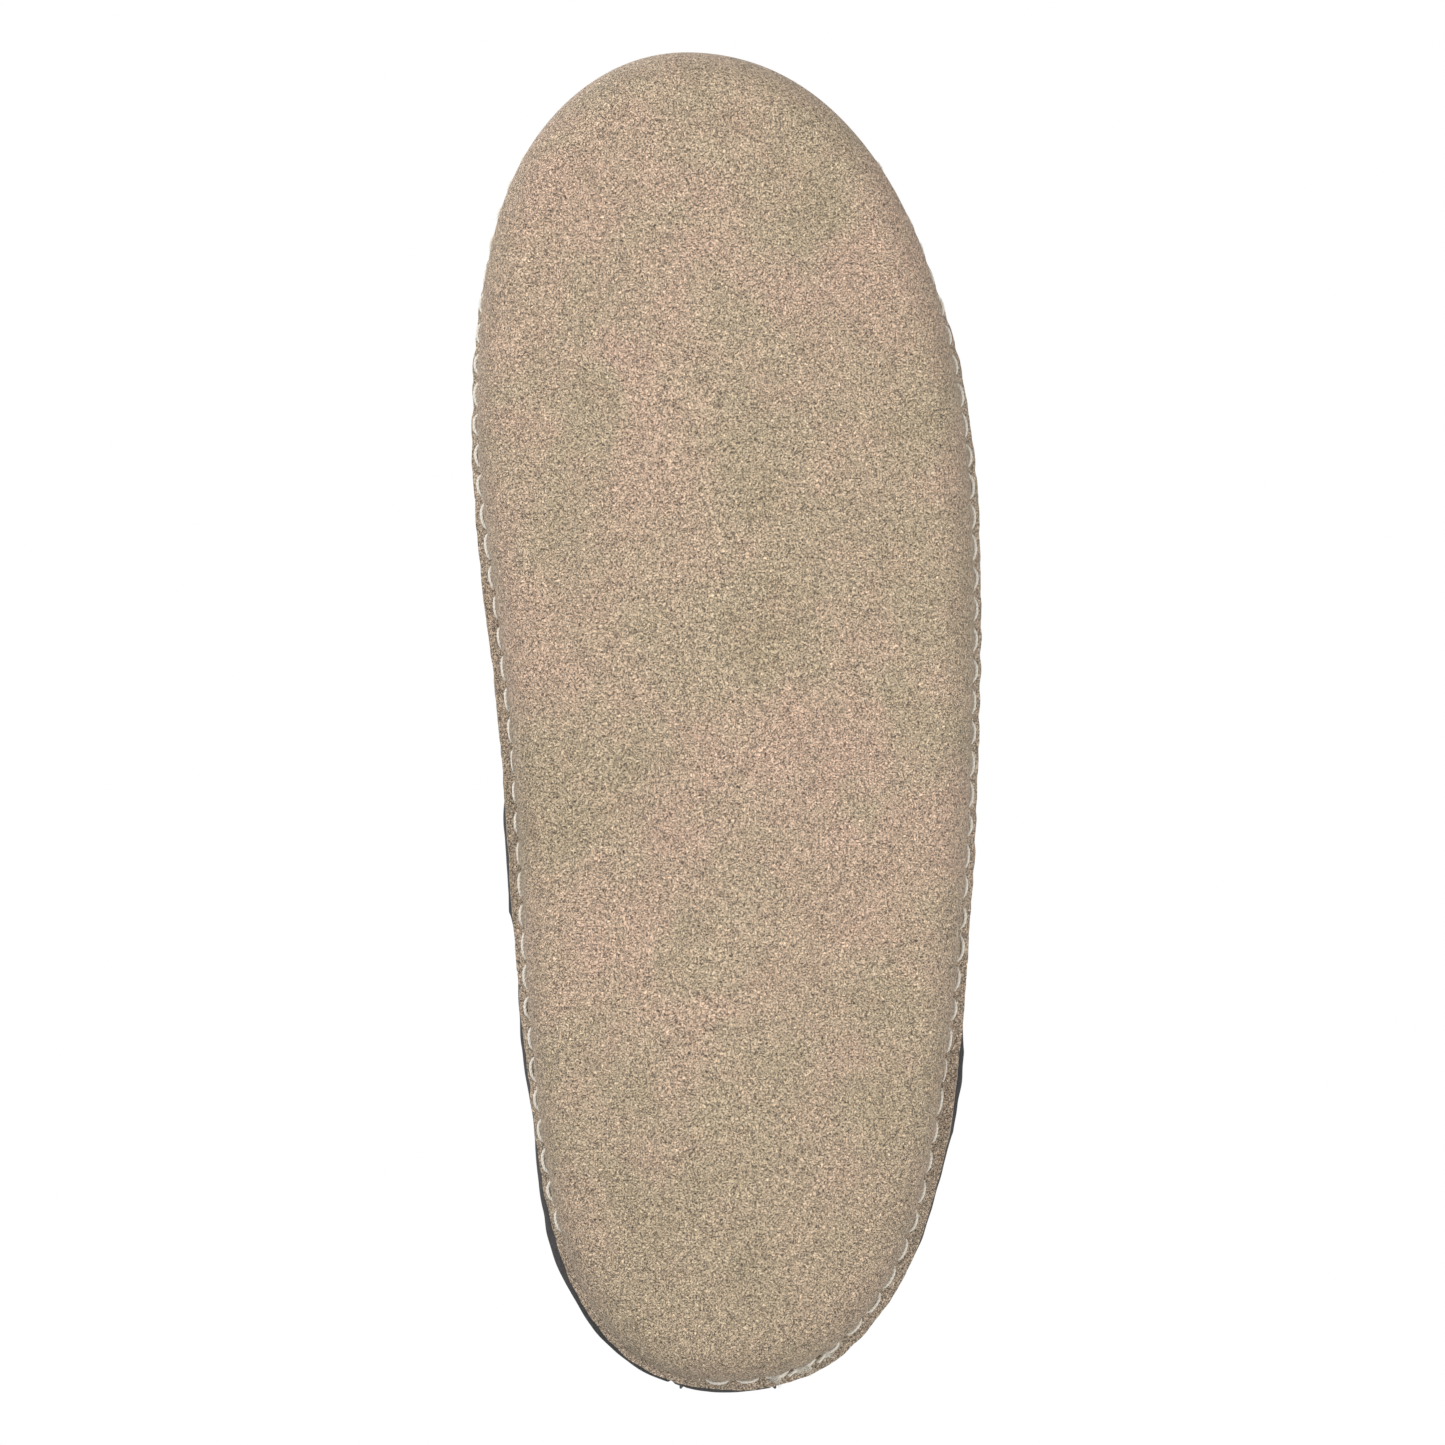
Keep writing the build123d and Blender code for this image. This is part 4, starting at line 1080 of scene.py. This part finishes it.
def soften(theta, rise, size=26.0, seed=1.0):
    """Slow dents and swells of soft leather, still at both ends of the wall."""
    place = wall(theta, rise)
    hold = smooth(rise / 0.15) * smooth((1 - rise) / 0.12)
    return hold * (0.75 * lumps(place, size, 3, seed) + 0.22 * lumps(place, 7.0, 2, seed + 3))


def away_from_seam(points):
    """Distance of each row of a grid from its last row, in millimetres."""
    steps = np.linalg.norm(np.diff(points, axis=0), axis=-1)
    return np.concatenate([np.cumsum(steps[::-1], 0)[::-1], np.zeros((1, points.shape[1]))])


# %% [markdown]
# ## The upper's seam allowance
# The upper turns outward over the sole's flange, so the two cut edges lie on each other and the
# thread holds both. Every panel that reaches the seam therefore starts with the same few rows.

# %% Rows of the flange
FLANGE_SHARES = (1.0, 0.8, 0.55, 0.3, 0.12)
# Painted highlight on the upper's turned-out flange, as a share of the lit grey in its colour.
FLANGE_PAINTED_HIGHLIGHT = 0.35


def flange_rows(theta):
    """Face and back rows of the turned-out edge, from the cut edge in to the crease."""
    low = SOLE_LEATHER + LAYER_GAP
    width = cut_width(theta) - LAYER_GAP + 0.3 * lumps(outline(theta), 6.0, 3, 15.0)
    face, back = [], []
    for share in FLANGE_SHARES:
        sag = flange_sag(theta, share)
        face.append(flange_point(theta, width * share, low + UPPER_LEATHER + sag))
        inner = width * share - (UPPER_CREASE + UPPER_LEATHER) * (1 - share)
        back.append(flange_point(theta, inner, low + sag))
    return np.array(face), np.array(back)


def with_flange(theta, face, back):
    """The grids of a panel with the flange's rows before them, and the fold's inner corner set."""
    back[0] = flange_point(theta, -UPPER_CREASE - UPPER_LEATHER, SOLE_LEATHER + LAYER_GAP)
    edge_face, edge_back = flange_rows(theta)
    return np.concatenate([edge_face, face]), np.concatenate([edge_back, back])


def upper_piece(name, node, face, back, painted_highlight):
    """A suede piece from its two grids, and how much painted highlight each point of its face gets."""
    points, quads, marks = panel(face, back, False)
    shares = {"painted_highlight": np.concatenate([painted_highlight, np.zeros(painted_highlight.shape)])}
    make_piece(name, points, quads, [upper_suede, upper_cut], "upper_suede", [node], marks, shares)


# %% [markdown]
# ## Vamp
# The vamp wraps the toe and the ball of the foot, and is cut by the side seams and the apron seam. A
# grid that follows the wall is bounded by those seams, so no boolean is needed, and the pleats can be
# added to its points as plain arithmetic.

# %% Vamp
def vamp():
    across, high = 760, 96
    rises = np.linspace(0, 1, high)
    turn_outer = side_seam_turn(rises, 1.0)
    turn_inner = side_seam_turn(rises, -1.0)
    share = np.linspace(0, 1, across)
    theta = -turn_inner[:, None] + (turn_outer + turn_inner)[:, None] * share
    rise = rises[:, None] * apron_rise(theta)
    plain = wall(theta, rise)
    out = wall_frame(theta, rise)[0]
    under_apron = (apron_rise(theta[-1]) < 1.0)[None] * 1.0
    away = away_from_seam(plain)
    push = soften(theta, rise)
    push = push + seam_ridge(theta, away, 1.5) * under_apron * smooth(rise / 0.2)
    low = 0.5 * (1 - pull(theta)) * np.exp(-(rise / 0.05)**2) * smooth(rise / 0.01)
    face = plain + out * (push + low)[..., None]
    back = plain + out * (push * 0.6 - UPPER_LEATHER)[..., None]
    face, back = with_flange(theta[0], face, back)
    # Painted highlight: the pleat crests near the apron seam and the flange get a lit grey in their colour.
    folds = pleats(theta) * np.exp(-(away / 6)**2) * under_apron * toe_share(theta)
    painted_highlight = np.concatenate([np.full((len(FLANGE_SHARES), across), FLANGE_PAINTED_HIGHLIGHT), folds * 0.8])
    upper_piece("vamp_panel", "vamp_wall", face, back, painted_highlight)


vamp()

# %% [markdown]
# ## Apron
# The apron is the U-shaped plug over the instep. Pulled up by its whip stitches, it stands in a ridge
# along the seam and swells a little in the middle. Its rows run from the seam up to the topline, which
# keeps the seam's points level with those of the vamp.

# %% Apron
def apron():
    across, deep = 460, 70
    theta = np.linspace(-reach_inner, reach_outer, across)
    start = apron_rise(theta)
    length = np.linalg.norm(wall(theta, 1.0) - wall(theta, start), axis=-1)
    start = np.minimum(start + BUTT_GAP / np.maximum(length, 1.0) * (1 - start), 1.0)
    rise = 1 - (1 - start) * np.linspace(0, 1, deep)[::-1, None]
    theta = np.broadcast_to(theta, rise.shape)
    plain = wall(theta, rise)
    out = wall_frame(theta, rise)[0]
    away = away_from_seam(plain)
    ease = smooth(length / 12)[None]
    folds = 0.4 * (pleats(theta) - 0.4) * toe_share(theta) * np.exp(-away / 3)
    ridge = 1.15 * np.exp(-(away / 2.0)**2) + folds
    swell = 1.2 * smooth(away / 14) * smooth((1 - rise) / 0.2)
    push = ease * (ridge + swell) + soften(theta, rise, 24.0, 6.0)
    face = plain + out * push[..., None]
    back = plain + out * (push * 0.7 - UPPER_LEATHER)[..., None]
    # The seam ridge gets a painted highlight, a lit grey in its colour.
    upper_piece("apron_panel", "apron", face, back, np.exp(-(away / 3)**2) * 0.5)


apron()

# %% [markdown]
# ## Quarters and the strip over the heel seam
# The two quarters run from the side seams to the heel and are covered there by the backstay. Padding
# under the collar makes them swell below the topline, and a real shoe creases softly where the foot
# pushes in. The edge at the side seam laps close to the vamp, so it is given a small rolled bump.

# %% Quarters
def collar_swell(theta, rise):
    """Swell over the foam, which lies between the binding and a line further down."""
    down = (1 - rise) * 3 * along(TOP_REACH, theta)
    return 0.85 * smooth((down - BINDING_WIDTH) / 4) * smooth((21 - down) / 9)


# Swell of the lower wall in millimetres, beside the arch and round the heel.
BELLY_INNER, BELLY_OUTER = (0.35, 1.8), (1.4, 0.7)
BELLY_HEIGHT, BELLY_SPREAD = 27.0, 8.0


def quarter(name, node, side):
    across, high = 420, 80
    rises = np.linspace(0, 1, high)
    front = side_seam_turn(rises, side, BUTT_GAP)
    share = np.linspace(0, 1, across)
    back_turn = math.pi - 0.12 / 35
    theta = side * (front[:, None] + (back_turn - front)[:, None] * share)
    rise = np.broadcast_to(rises[:, None], theta.shape)
    plain = wall(theta, rise)
    out = wall_frame(theta, rise)[0]
    clear = smooth((np.abs(plain[..., 0] - HEEL_SWING) - BACKSTAY_WIDTH / 2 - 1) / 9)
    from_front = np.linalg.norm(plain - plain[:, :1], axis=-1)
    rolled = 0.35 * np.exp(-(from_front / 1.2)**2) * smooth(rise / 0.1) * smooth((1 - rise) / 0.2)
    push = (soften(theta, rise, 22.0, 9.0 + side) + collar_swell(theta, rise)) * clear + rolled
    low = 0.5 * (1 - pull(theta)) * np.exp(-(rise / 0.06)**2) * smooth(rise / 0.01) * clear
    from_strip = np.abs(plain[..., 0] - HEEL_SWING) - BACKSTAY_WIDTH / 2
    beside = smooth((from_strip + 0.7) / 1.4) * (0.8 + 0.2 * smooth((from_strip - 1) / 9))
    heel = smooth((np.abs(theta) - 2.2) / 0.4)
    waist = smooth((np.abs(theta) - 1.5) / 0.4)
    waist_belly, heel_belly = BELLY_INNER if side < 0 else BELLY_OUTER
    belly = 0.1 + waist_belly * waist + heel_belly * heel
    low = low + belly * np.exp(-((plain[..., 2] - BELLY_HEIGHT) / BELLY_SPREAD)**2) * beside
    face = plain + out * (push + low)[..., None]
    back = plain + out * (push * 0.3 * clear - UPPER_LEATHER)[..., None]
    face, back = with_flange(theta[0], face, back)
    # Painted highlight on the flange and along the rolled edge at the side seam.
    flange_painted_highlight = np.full((len(FLANGE_SHARES), across), FLANGE_PAINTED_HIGHLIGHT)
    upper_piece(name, node, face, back, np.concatenate([flange_painted_highlight, np.exp(-(from_front / 2)**2) * 0.4]))


quarter("quarter_panel_inner", "quarter_medial", -1.0)
quarter("quarter_panel_outer", "quarter_lateral", 1.0)


# %% [markdown]
# ## Backstay
# A straight strip covers the butt seam at the heel. Real suede folds over the curve of the heel, so the
# strip is laid on the wall by bisection at equal distances across, and its borders are rounded down
# with a groove where the stitches pull.

# %% Backstay
def backstay():
    high, across = 60, 30
    top = below_topline(math.pi, BINDING_WIDTH + FIT)
    rise = np.linspace(0.05, float(top), high)[:, None] + np.zeros((1, across))
    offset = np.linspace(-0.5, 0.5, across) * BACKSTAY_WIDTH
    offset = np.broadcast_to(offset, rise.shape)

    def beyond(theta):
        return wall(theta, rise)[..., 0] - HEEL_SWING - offset
    theta = crossing_of(beyond, np.full(rise.shape, math.pi - 0.6), np.full(rise.shape, math.pi + 0.6))
    out = wall_frame(theta, rise)[0]
    place = wall(theta, rise)
    edge = 1 - np.abs(offset) / (BACKSTAY_WIDTH / 2)
    pillow = 0.28 * smooth(edge / 0.2) + 0.18 * lumps(place, 9.0, 3, 30.0)
    groove = 0.22 * np.exp(-(((1 - edge) * BACKSTAY_WIDTH / 2 - BACKSTAY_WIDTH / 2 + 2.0) / 0.5)**2)
    near, far = 2 * LAYER_GAP + BACKSTAY_THICKNESS, 2 * LAYER_GAP
    round_off = 0.35 * (1 - smooth(edge / 0.08))
    face = place + out * (near + pillow - groove - round_off)[..., None]
    back = place + out * far
    # The strip's rounded borders get a painted highlight, a lit grey in their colour.
    upper_piece("backstay_strip", "backstay", face, back, 0.45 * np.exp(-(edge / 0.12)**2))


backstay()

# %% [markdown]
# ## The bound topline
# A strip of thin leather is folded over the raw edges of upper, padding and fleece, and stitched
# through. It is a closed ring with a rounded U section. Where the thread pulls, it dimples a little
# between the stitches, and it gathers in short wrinkles where the opening turns at throat and heel.

# %% Binding
def binding():
    columns = 1400
    theta = np.linspace(0, TURN, columns, endpoint=False)
    rim = topline(theta)
    run = np.concatenate([[0], np.cumsum(np.linalg.norm(np.diff(rim, axis=0), axis=1))])
    inside = lining_depth(theta) + LINING + LAYER_GAP
    lip = LAYER_GAP + BINDING_TAPE
    bend = 0.35 + 0.65 * (np.abs(np.sin(fold(theta)[1]))**0.5 < 0.6)
    wrinkle = lumps(stack(run / 3.1, rim[:, 2] / 40, 0.0) * 3.1, 3.1, 2, 4.0) * 0.20 * bend
    soft = lumps(rim, 16.0, 2, 8.0) * 0.22
    legs = np.linspace(1.0, 0.0, 12)

    def leg(depth, grow, share):
        rise = below_topline(theta, BINDING_WIDTH * share)
        mound = math.sin(math.pi * min(share, 1.0))**0.7 if 0 < share < 1 else 0.0
        dimple = 0.32 * math.exp(-((share - 0.75) / 0.07)**2)
        bulge = grow * (0.55 * mound - dimple + wrinkle * smooth(np.array(share * 6)) + soft * mound)
        return skin(theta, rise, depth - bulge)

    outer = [leg(-lip, 1.0, share) for share in legs]
    centre, half = inside / 2, (inside + 2 * lip) / 2
    crown = []
    for a in np.linspace(0, math.pi, 13)[1:-1]:
        lift = 1.75 * lip * math.sin(a)**0.75 + (wrinkle + soft) * math.sin(a)
        crown.append(skin(theta, np.ones(columns), centre - (half + 0.12) * math.cos(a), lift))
    inner = [leg(inside + lip, -0.8, share) for share in legs[::-1]]
    tuck = [skin(theta, below_topline(theta, BINDING_WIDTH * s), inside + LAYER_GAP) for s in (1.0, 0.5)]
    roof = [skin(theta, np.ones(columns), inside + LAYER_GAP, LAYER_GAP),
            skin(theta, np.ones(columns), -LAYER_GAP, LAYER_GAP)]
    hidden = [skin(theta, below_topline(theta, BINDING_WIDTH * s), -LAYER_GAP) for s in (0.5, 1.0)]
    rings = np.array(outer + crown + inner + tuck + roof + hidden)
    rings = np.concatenate([rings, rings[:1]])
    faces = grid_faces(len(rings), columns, 0, True)
    # Painted highlight along the rounded crown, strongest on the wrinkle crests.
    painted_highlight = np.zeros(rings.shape[:2])
    painted_highlight[len(outer):len(outer) + len(crown)] = 0.35 + 0.6 * np.clip(wrinkle * 3, 0, 1)
    make_piece("topline_binding", rings.reshape(-1, 3), faces, [binding_skin], "binding",
               ["collar_binding"], None, {"painted_highlight": painted_highlight}, 60)


binding()

# %% [markdown]
# ## Fleece lining
# Real fleece is a mat of wool locks. Particle hair would be heavy and would not export, so the locks
# are sculpted: a cell pattern gives rounded tufts a few millimetres wide, and two finer noises break
# them up. The height of every tuft is kept on the mesh, where the finish uses it to shade the roots.

# %% Fleece
def locks(points, seed=0.0):
    """Height of the wool from 0 at a root to 1 at the tip of a lock."""
    flat = points.reshape(-1, 3)
    drift = np.array([noise.noise_vector(Vector(p)) for p in (flat / 7.0 + seed).tolist()])
    warped = (flat + drift * 1.6) / 3.4 + seed
    cells = np.array([noise.voronoi(Vector(p))[0][:2] for p in warped.tolist()])
    tuft = np.clip(1.05 - 1.25 * cells[:, 0]**1.4, 0, 1)
    fine = np.array([noise.fractal(Vector(p), 1.0, 2.0, 3) for p in (flat / 1.7 + seed).tolist()])
    return np.clip(tuft * 0.75 + 0.25 + fine * 0.30, 0, 1).reshape(points.shape[:-1])


WOOL_DEPTH = 1.5


def lining_rows(theta, rises):
    """Face (towards the foot) and back grids of the lining over a grid of theta and rise."""
    near = lining_depth(theta)
    foot = lining_foot_inset(theta[0])
    back = [section(theta[0], foot, FOOTBED_BOTTOM), section(theta[0], foot, FOOTBED_TOP)]
    face = [section(theta[0], foot + LINING, FOOTBED_BOTTOM), section(theta[0], foot + LINING, FOOTBED_TOP)]
    face = np.concatenate([face, skin(theta, rises, near + LINING)])
    back = np.concatenate([back, skin(theta, rises, near)])
    return face, back


def lining(name, node, theta, rises):
    face, back = lining_rows(theta, rises)
    inward = unit(face - back)
    height = locks(face, 2.0)
    down = (1 - rises) * 3 * along(TOP_REACH, theta)
    free = np.concatenate([np.zeros((1, theta.shape[1])), np.full((1, theta.shape[1]), 0.7),
                           smooth((down - BINDING_WIDTH * 0.5) / 6)])
    sides = smooth(np.minimum(np.arange(theta.shape[1]), np.arange(theta.shape[1])[::-1]) / 5)
    free = free * (0.4 + 0.6 * sides)
    face = face + inward * (WOOL_DEPTH * free * (height - 0.15))[..., None]
    points, quads, _ = panel(face, back, False)
    curl = np.concatenate([height, np.full(height.shape, 0.6)])
    make_piece(name, points, quads, [wool], "fleece", [node], None, {"curl": curl}, 180)


def vamp_lining():
    rises = np.linspace(0, 1, 116)[:, None] + np.zeros((1, 430))
    outer, inner = side_seam_turn(rises[:, 0], 1.0), side_seam_turn(rises[:, 0], -1.0)
    share = np.linspace(0, 1, rises.shape[1])
    lining("vamp_fleece", "vamp_lining", -inner[:, None] + (outer + inner)[:, None] * share, rises)


def quarter_fleece(name, node, side):
    rises = np.linspace(0, 1, 72)[:, None] + np.zeros((1, 210))
    front = side_seam_turn(rises[:, 0], side, BUTT_GAP)
    share = np.linspace(0, 1, rises.shape[1])
    back = math.pi - 0.12 / 30
    lining(name, node, side * (front[:, None] + (back - front)[:, None] * share), rises)


vamp_lining()
quarter_fleece("quarter_fleece_inner", "quarter_lining_medial", -1.0)
quarter_fleece("quarter_fleece_outer", "quarter_lining_lateral", 1.0)

# %% [markdown]
# ## Filler, heel pad and collar foam
# The stuffed parts are soft, so they should crown between their borders instead of ending like cut
# blocks. A modifier could round a box, but a crowned grid keeps the outline of the shoe exactly. The
# foams are simple shapes, because nothing pulls on them.

# %% Padded parts
def plate_grid(inset, z, rows, columns):
    """A grid of points that fills the shoe's outline at a height, inset by a formula of theta."""
    angle = np.linspace(0.02, math.pi - 0.02, rows)
    outer, inner = section(angle, inset(angle), z), section(-angle, inset(-angle), z)
    share = (1 - np.cos(np.linspace(0, math.pi, columns)))[None, :, None] / 2
    return inner[:, None] * (1 - share) + outer[:, None] * share


def padded_plate(name, node, bottom, top, inset, crown, finishes, slot, sag=0.0):
    """A flat cushion: two grids joined round their borders, the upper one crowned."""
    low = plate_grid(inset, bottom, 120, 44)
    high = plate_grid(inset, top, 120, 44)
    across = np.linspace(0, 1, 44)[None]
    length = np.linspace(0, 1, 120)[:, None]
    middle = smooth(np.minimum(across, 1 - across) / 0.12) * smooth(np.minimum(length, 1 - length) / 0.05)
    high[..., 2] += (crown + 0.12 * lumps(high, 20.0, 2, 3.0)) * middle - sag * (1 - middle)
    points, quads, _ = panel(high, low, False)
    piece = make_piece(name, points, quads, finishes, slot, [node])
    return piece


padded_plate("filler_foam", "sole_filler", SOLE_LEATHER + LAYER_GAP, FILLER_TOP,
             lambda theta: room_inset(theta, SOLE_LEATHER + LAYER_GAP) + FIT, 0.0, [foam], "foam", 0.25)


def heel_pad():
    """A low dome with an oval plan."""
    turn = np.linspace(0, TURN, 96, endpoint=False)
    centre = np.array([HEEL_SWING, SHOE_LENGTH / 2 - 14.0 - 31.0, FILLER_TOP - 2.6])
    rings = []
    for share, height in ((0.05, 0), (0.7, 0), (0.97, 0.0), (1.0, 0.25), (1.0, 0.6), (0.97, 0.9),
                          (0.8, 1.0), (0.4, 1.06), (0.04, 1.08)):
        rings.append(centre + stack(22 * share * np.cos(turn), 31 * share * np.sin(turn), 2.4 * height))
    faces = grid_faces(len(rings), 96, 0, True).tolist()
    faces += [list(range(96))[::-1], list(range((len(rings) - 1) * 96, len(rings) * 96))]
    piece = make_piece("heel_foam", np.array(rings).reshape(-1, 3), faces, [foam], "foam", ["heel_pad"])


heel_pad()


def collar_foam():
    """The roll of foam inside the collar, thick in the middle and feathered at both edges."""
    full = math.radians(COLLAR_FOAM_FULL)
    theta = np.linspace(full, TURN - full, 340)
    share = np.linspace(0, 1, 18)[:, None]
    down = 4 * LAYER_GAP + (16.0 - 4 * LAYER_GAP) * (1 - share)
    rise = below_topline(theta, down)
    theta = np.broadcast_to(theta, rise.shape)
    near = UPPER_LEATHER + 2 * LAYER_GAP
    thick = COLLAR_FOAM * (0.35 + 0.65 * np.sin(math.pi * share)**0.6)
    outer = skin(theta, rise, near + 0.02)
    inner = skin(theta, rise, near + thick + 0.08 * lumps(outer, 8.0, 2, 2.0))
    points, quads, _ = panel(inner, outer, False)
    piece = make_piece("collar_foam", points, quads, [foam], "foam", ["collar_padding"])


collar_foam()


# %% [markdown]
# ## Footbed
# The footbed is a sock of fleece over thin foam. It is blown up as cloth: its underside and border are
# pinned, air pushes the top up, and the result is kept. Sculpting the crown by formula would do, but
# cloth finds by itself how the crown dies away at a border of uneven width.

# %% Footbed
def blown(mesh_points, quads, pinned, pressure, frames):
    """The points after air has pushed them out as cloth, pinned where asked."""
    mesh = bpy.data.meshes.new("blown")
    mesh.from_pydata((mesh_points * MM).tolist(), [], quads.tolist())
    body = bpy.data.objects.new("blown", mesh)
    bpy.context.collection.objects.link(body)
    group = body.vertex_groups.new(name="pinned")
    for weight in np.unique(pinned):
        group.add(np.flatnonzero(pinned == weight).tolist(), float(weight), "REPLACE")
    cloth = body.modifiers.new("cloth", "CLOTH")
    settings = cloth.settings
    settings.quality = 6
    settings.mass = 0.2
    settings.tension_stiffness = 12
    settings.compression_stiffness = 12
    settings.bending_stiffness = 2.0
    settings.vertex_group_mass = "pinned"
    settings.use_pressure = True
    settings.uniform_pressure_force = pressure
    settings.effector_weights.gravity = 0.0
    cloth.point_cache.frame_start = 1
    cloth.point_cache.frame_end = frames
    scene = bpy.context.scene
    for number in range(1, frames + 1):
        scene.frame_set(number)
    shown = body.evaluated_get(bpy.context.evaluated_depsgraph_get())
    result = np.zeros(len(mesh.vertices) * 3)
    shown.data.vertices.foreach_get("co", result)
    scene.frame_set(1)
    bpy.data.objects.remove(body)
    bpy.data.meshes.remove(mesh)
    return result.reshape(-1, 3) / MM


def finer(grid, factor):
    """The same surface with more rows and columns."""
    rows, columns = grid.shape[:2]
    r = np.linspace(0, rows - 1, (rows - 1) * factor + 1)
    c = np.linspace(0, columns - 1, (columns - 1) * factor + 1)
    k = np.minimum(r.astype(int), rows - 2)
    grid = grid[k] * (1 - (r - k))[:, None, None] + grid[k + 1] * (r - k)[:, None, None]
    k = np.minimum(c.astype(int), columns - 2)
    return grid[:, k] * (1 - (c - k))[None, :, None] + grid[:, k + 1] * (c - k)[None, :, None]


def footbed():
    rows, columns = 66, 25

    def inset(theta):
        return lining_foot_inset(theta) + LINING + FIT
    low = plate_grid(inset, FOOTBED_BOTTOM, rows, columns)
    high = plate_grid(inset, FOOTBED_TOP - 0.4, rows, columns)
    points, quads, _ = panel(high, low, False)
    size = rows * columns
    pinned = np.concatenate([np.zeros(size), np.ones(size)])
    border = np.zeros((rows, columns), bool)
    border[[0, -1]] = True
    border[:, [0, -1]] = True
    pinned[:size][border.ravel()] = 1.0
    moved = blown(points, quads, pinned, 4.0, 20)[:size]
    rise = np.clip(moved.reshape(rows, columns, 3)[..., 2] - high[..., 2], 0, 1.4)
    print("footbed crowned by", round(float(rise.max()), 2), "mm")
    high[..., 2] += rise
    top, bottom = finer(high, 4), finer(low, 4)
    height = locks(top, 5.0)
    step = np.arange(top.shape[0])[:, None], np.arange(top.shape[1])[None]
    edge = np.minimum(np.minimum(step[0], step[0][::-1]), np.minimum(step[1], step[1][:, ::-1]))
    top[..., 2] += 1.5 * (height - 0.3) * smooth(edge / 6)
    points, quads, _ = panel(top, bottom, False)
    curl = np.concatenate([height, np.full(height.shape, 0.6)])
    piece = make_piece("fleece_footbed", points, quads, [wool], "fleece", ["footbed"], None,
                       {"curl": curl}, 180)


footbed()

# %% [markdown]
# ## Insole board and heel counter
# Two stiff parts hide inside the shoe: a board of pressed fibre under the footbed and a cup round the
# heel. They are hard and plain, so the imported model's own meshes are kept and only get a finish.

# %% Stiffeners
def dress(node, finish):
    """Give a carried-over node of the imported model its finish."""
    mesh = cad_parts[node].data
    mesh.materials.clear()
    mesh.materials.append(finish)


dress("insole_board", board)
dress("heel_counter", board)

# %% [markdown]
# ## Camera, light and floor
# The shoe is looked at straight from below, sole on, the way a catalogue shows a tread. Large soft
# lamps and a bright surround give the even light of a studio; one side is a little weaker, so the
# border of the sole turns slightly grey there.

# %% Studio
SENSOR, CAMERA_DISTANCE = 36.0, 2.0
PICTURE_WIDTH, SEAM_LEVEL = 0.2907, 0.014


def add_camera():
    lens = bpy.data.cameras.new("camera")
    lens.sensor_width = SENSOR
    lens.lens = SENSOR * (CAMERA_DISTANCE + SEAM_LEVEL) / PICTURE_WIDTH
    camera = bpy.data.objects.new("camera", lens)
    camera.location = (-0.0007, -0.0001, -CAMERA_DISTANCE)
    camera.rotation_euler = (math.pi, 0, 0)
    bpy.context.collection.objects.link(camera)
    bpy.context.scene.camera = camera


def add_lamp(name, place, size, watts):
    light = bpy.data.lights.new(name, "AREA")
    light.shape = "DISK"
    light.size = size
    light.energy = watts
    lamp = bpy.data.objects.new(name, light)
    lamp.location = place
    aim = Vector((0.0, 0.0, 0.02)) - Vector(place)
    lamp.rotation_euler = aim.to_track_quat("-Z", "Y").to_euler()
    bpy.context.collection.objects.link(lamp)


def surround(seen, cast):
    """White to the eye, and a softer white as light."""
    world = bpy.data.worlds.new("surround")
    world.use_nodes = True
    nodes, links = world.node_tree.nodes, world.node_tree.links
    back = nodes["Background"]
    path = nodes.new("ShaderNodeLightPath")
    mix = nodes.new("ShaderNodeMix")
    mix.inputs[2].default_value = cast
    mix.inputs[3].default_value = seen
    links.new(path.outputs["Is Camera Ray"], mix.inputs[0])
    links.new(mix.outputs[0], back.inputs["Strength"])
    back.inputs["Color"].default_value = (1, 1, 1, 1)
    bpy.context.scene.world = world


def add_floor():
    """A plain pale floor just under the sole, clear when looked at from below."""
    finish = Finish("floor_paint")
    shader = finish.shader
    finish.set(Base_Color=tone(236, 236, 234), Roughness=0.9)
    clear = finish.node("ShaderNodeBsdfTransparent")
    behind = finish.node("ShaderNodeNewGeometry", output="Backfacing")
    mix = finish.tree.nodes.new("ShaderNodeMixShader")
    output = next(node for node in finish.tree.nodes if node.type == "OUTPUT_MATERIAL")
    finish.tree.links.new(behind.socket, mix.inputs[0])
    finish.tree.links.new(shader.outputs[0], mix.inputs[1])
    finish.tree.links.new(clear.socket, mix.inputs[2])
    finish.tree.links.new(mix.outputs[0], output.inputs["Surface"])
    half = 1.5
    mesh = bpy.data.meshes.new("floor")
    corners = [(-half, -half, 0), (half, -half, 0), (half, half, 0), (-half, half, 0)]
    mesh.from_pydata(corners, [], [(0, 1, 2, 3)])
    mesh.materials.append(finish.material)
    floor = bpy.data.objects.new("floor", mesh)
    floor.location.z = -0.0002
    bpy.context.collection.objects.link(floor)
    floor.visible_diffuse = False
    floor.visible_glossy = False
    floor.visible_transmission = False
    floor.visible_shadow = False


add_camera()
add_lamp("lamp_left", (-0.7, -0.5, -0.9), 0.9, 10.6)
add_lamp("lamp_right", (0.8, 0.4, -0.8), 0.9, 5.9)
add_lamp("lamp_above", (-0.3, -0.8, 1.2), 1.1, 14.0)
surround(1.0, 0.62)
add_floor()
bpy.context.scene.view_settings.view_transform = "Standard"
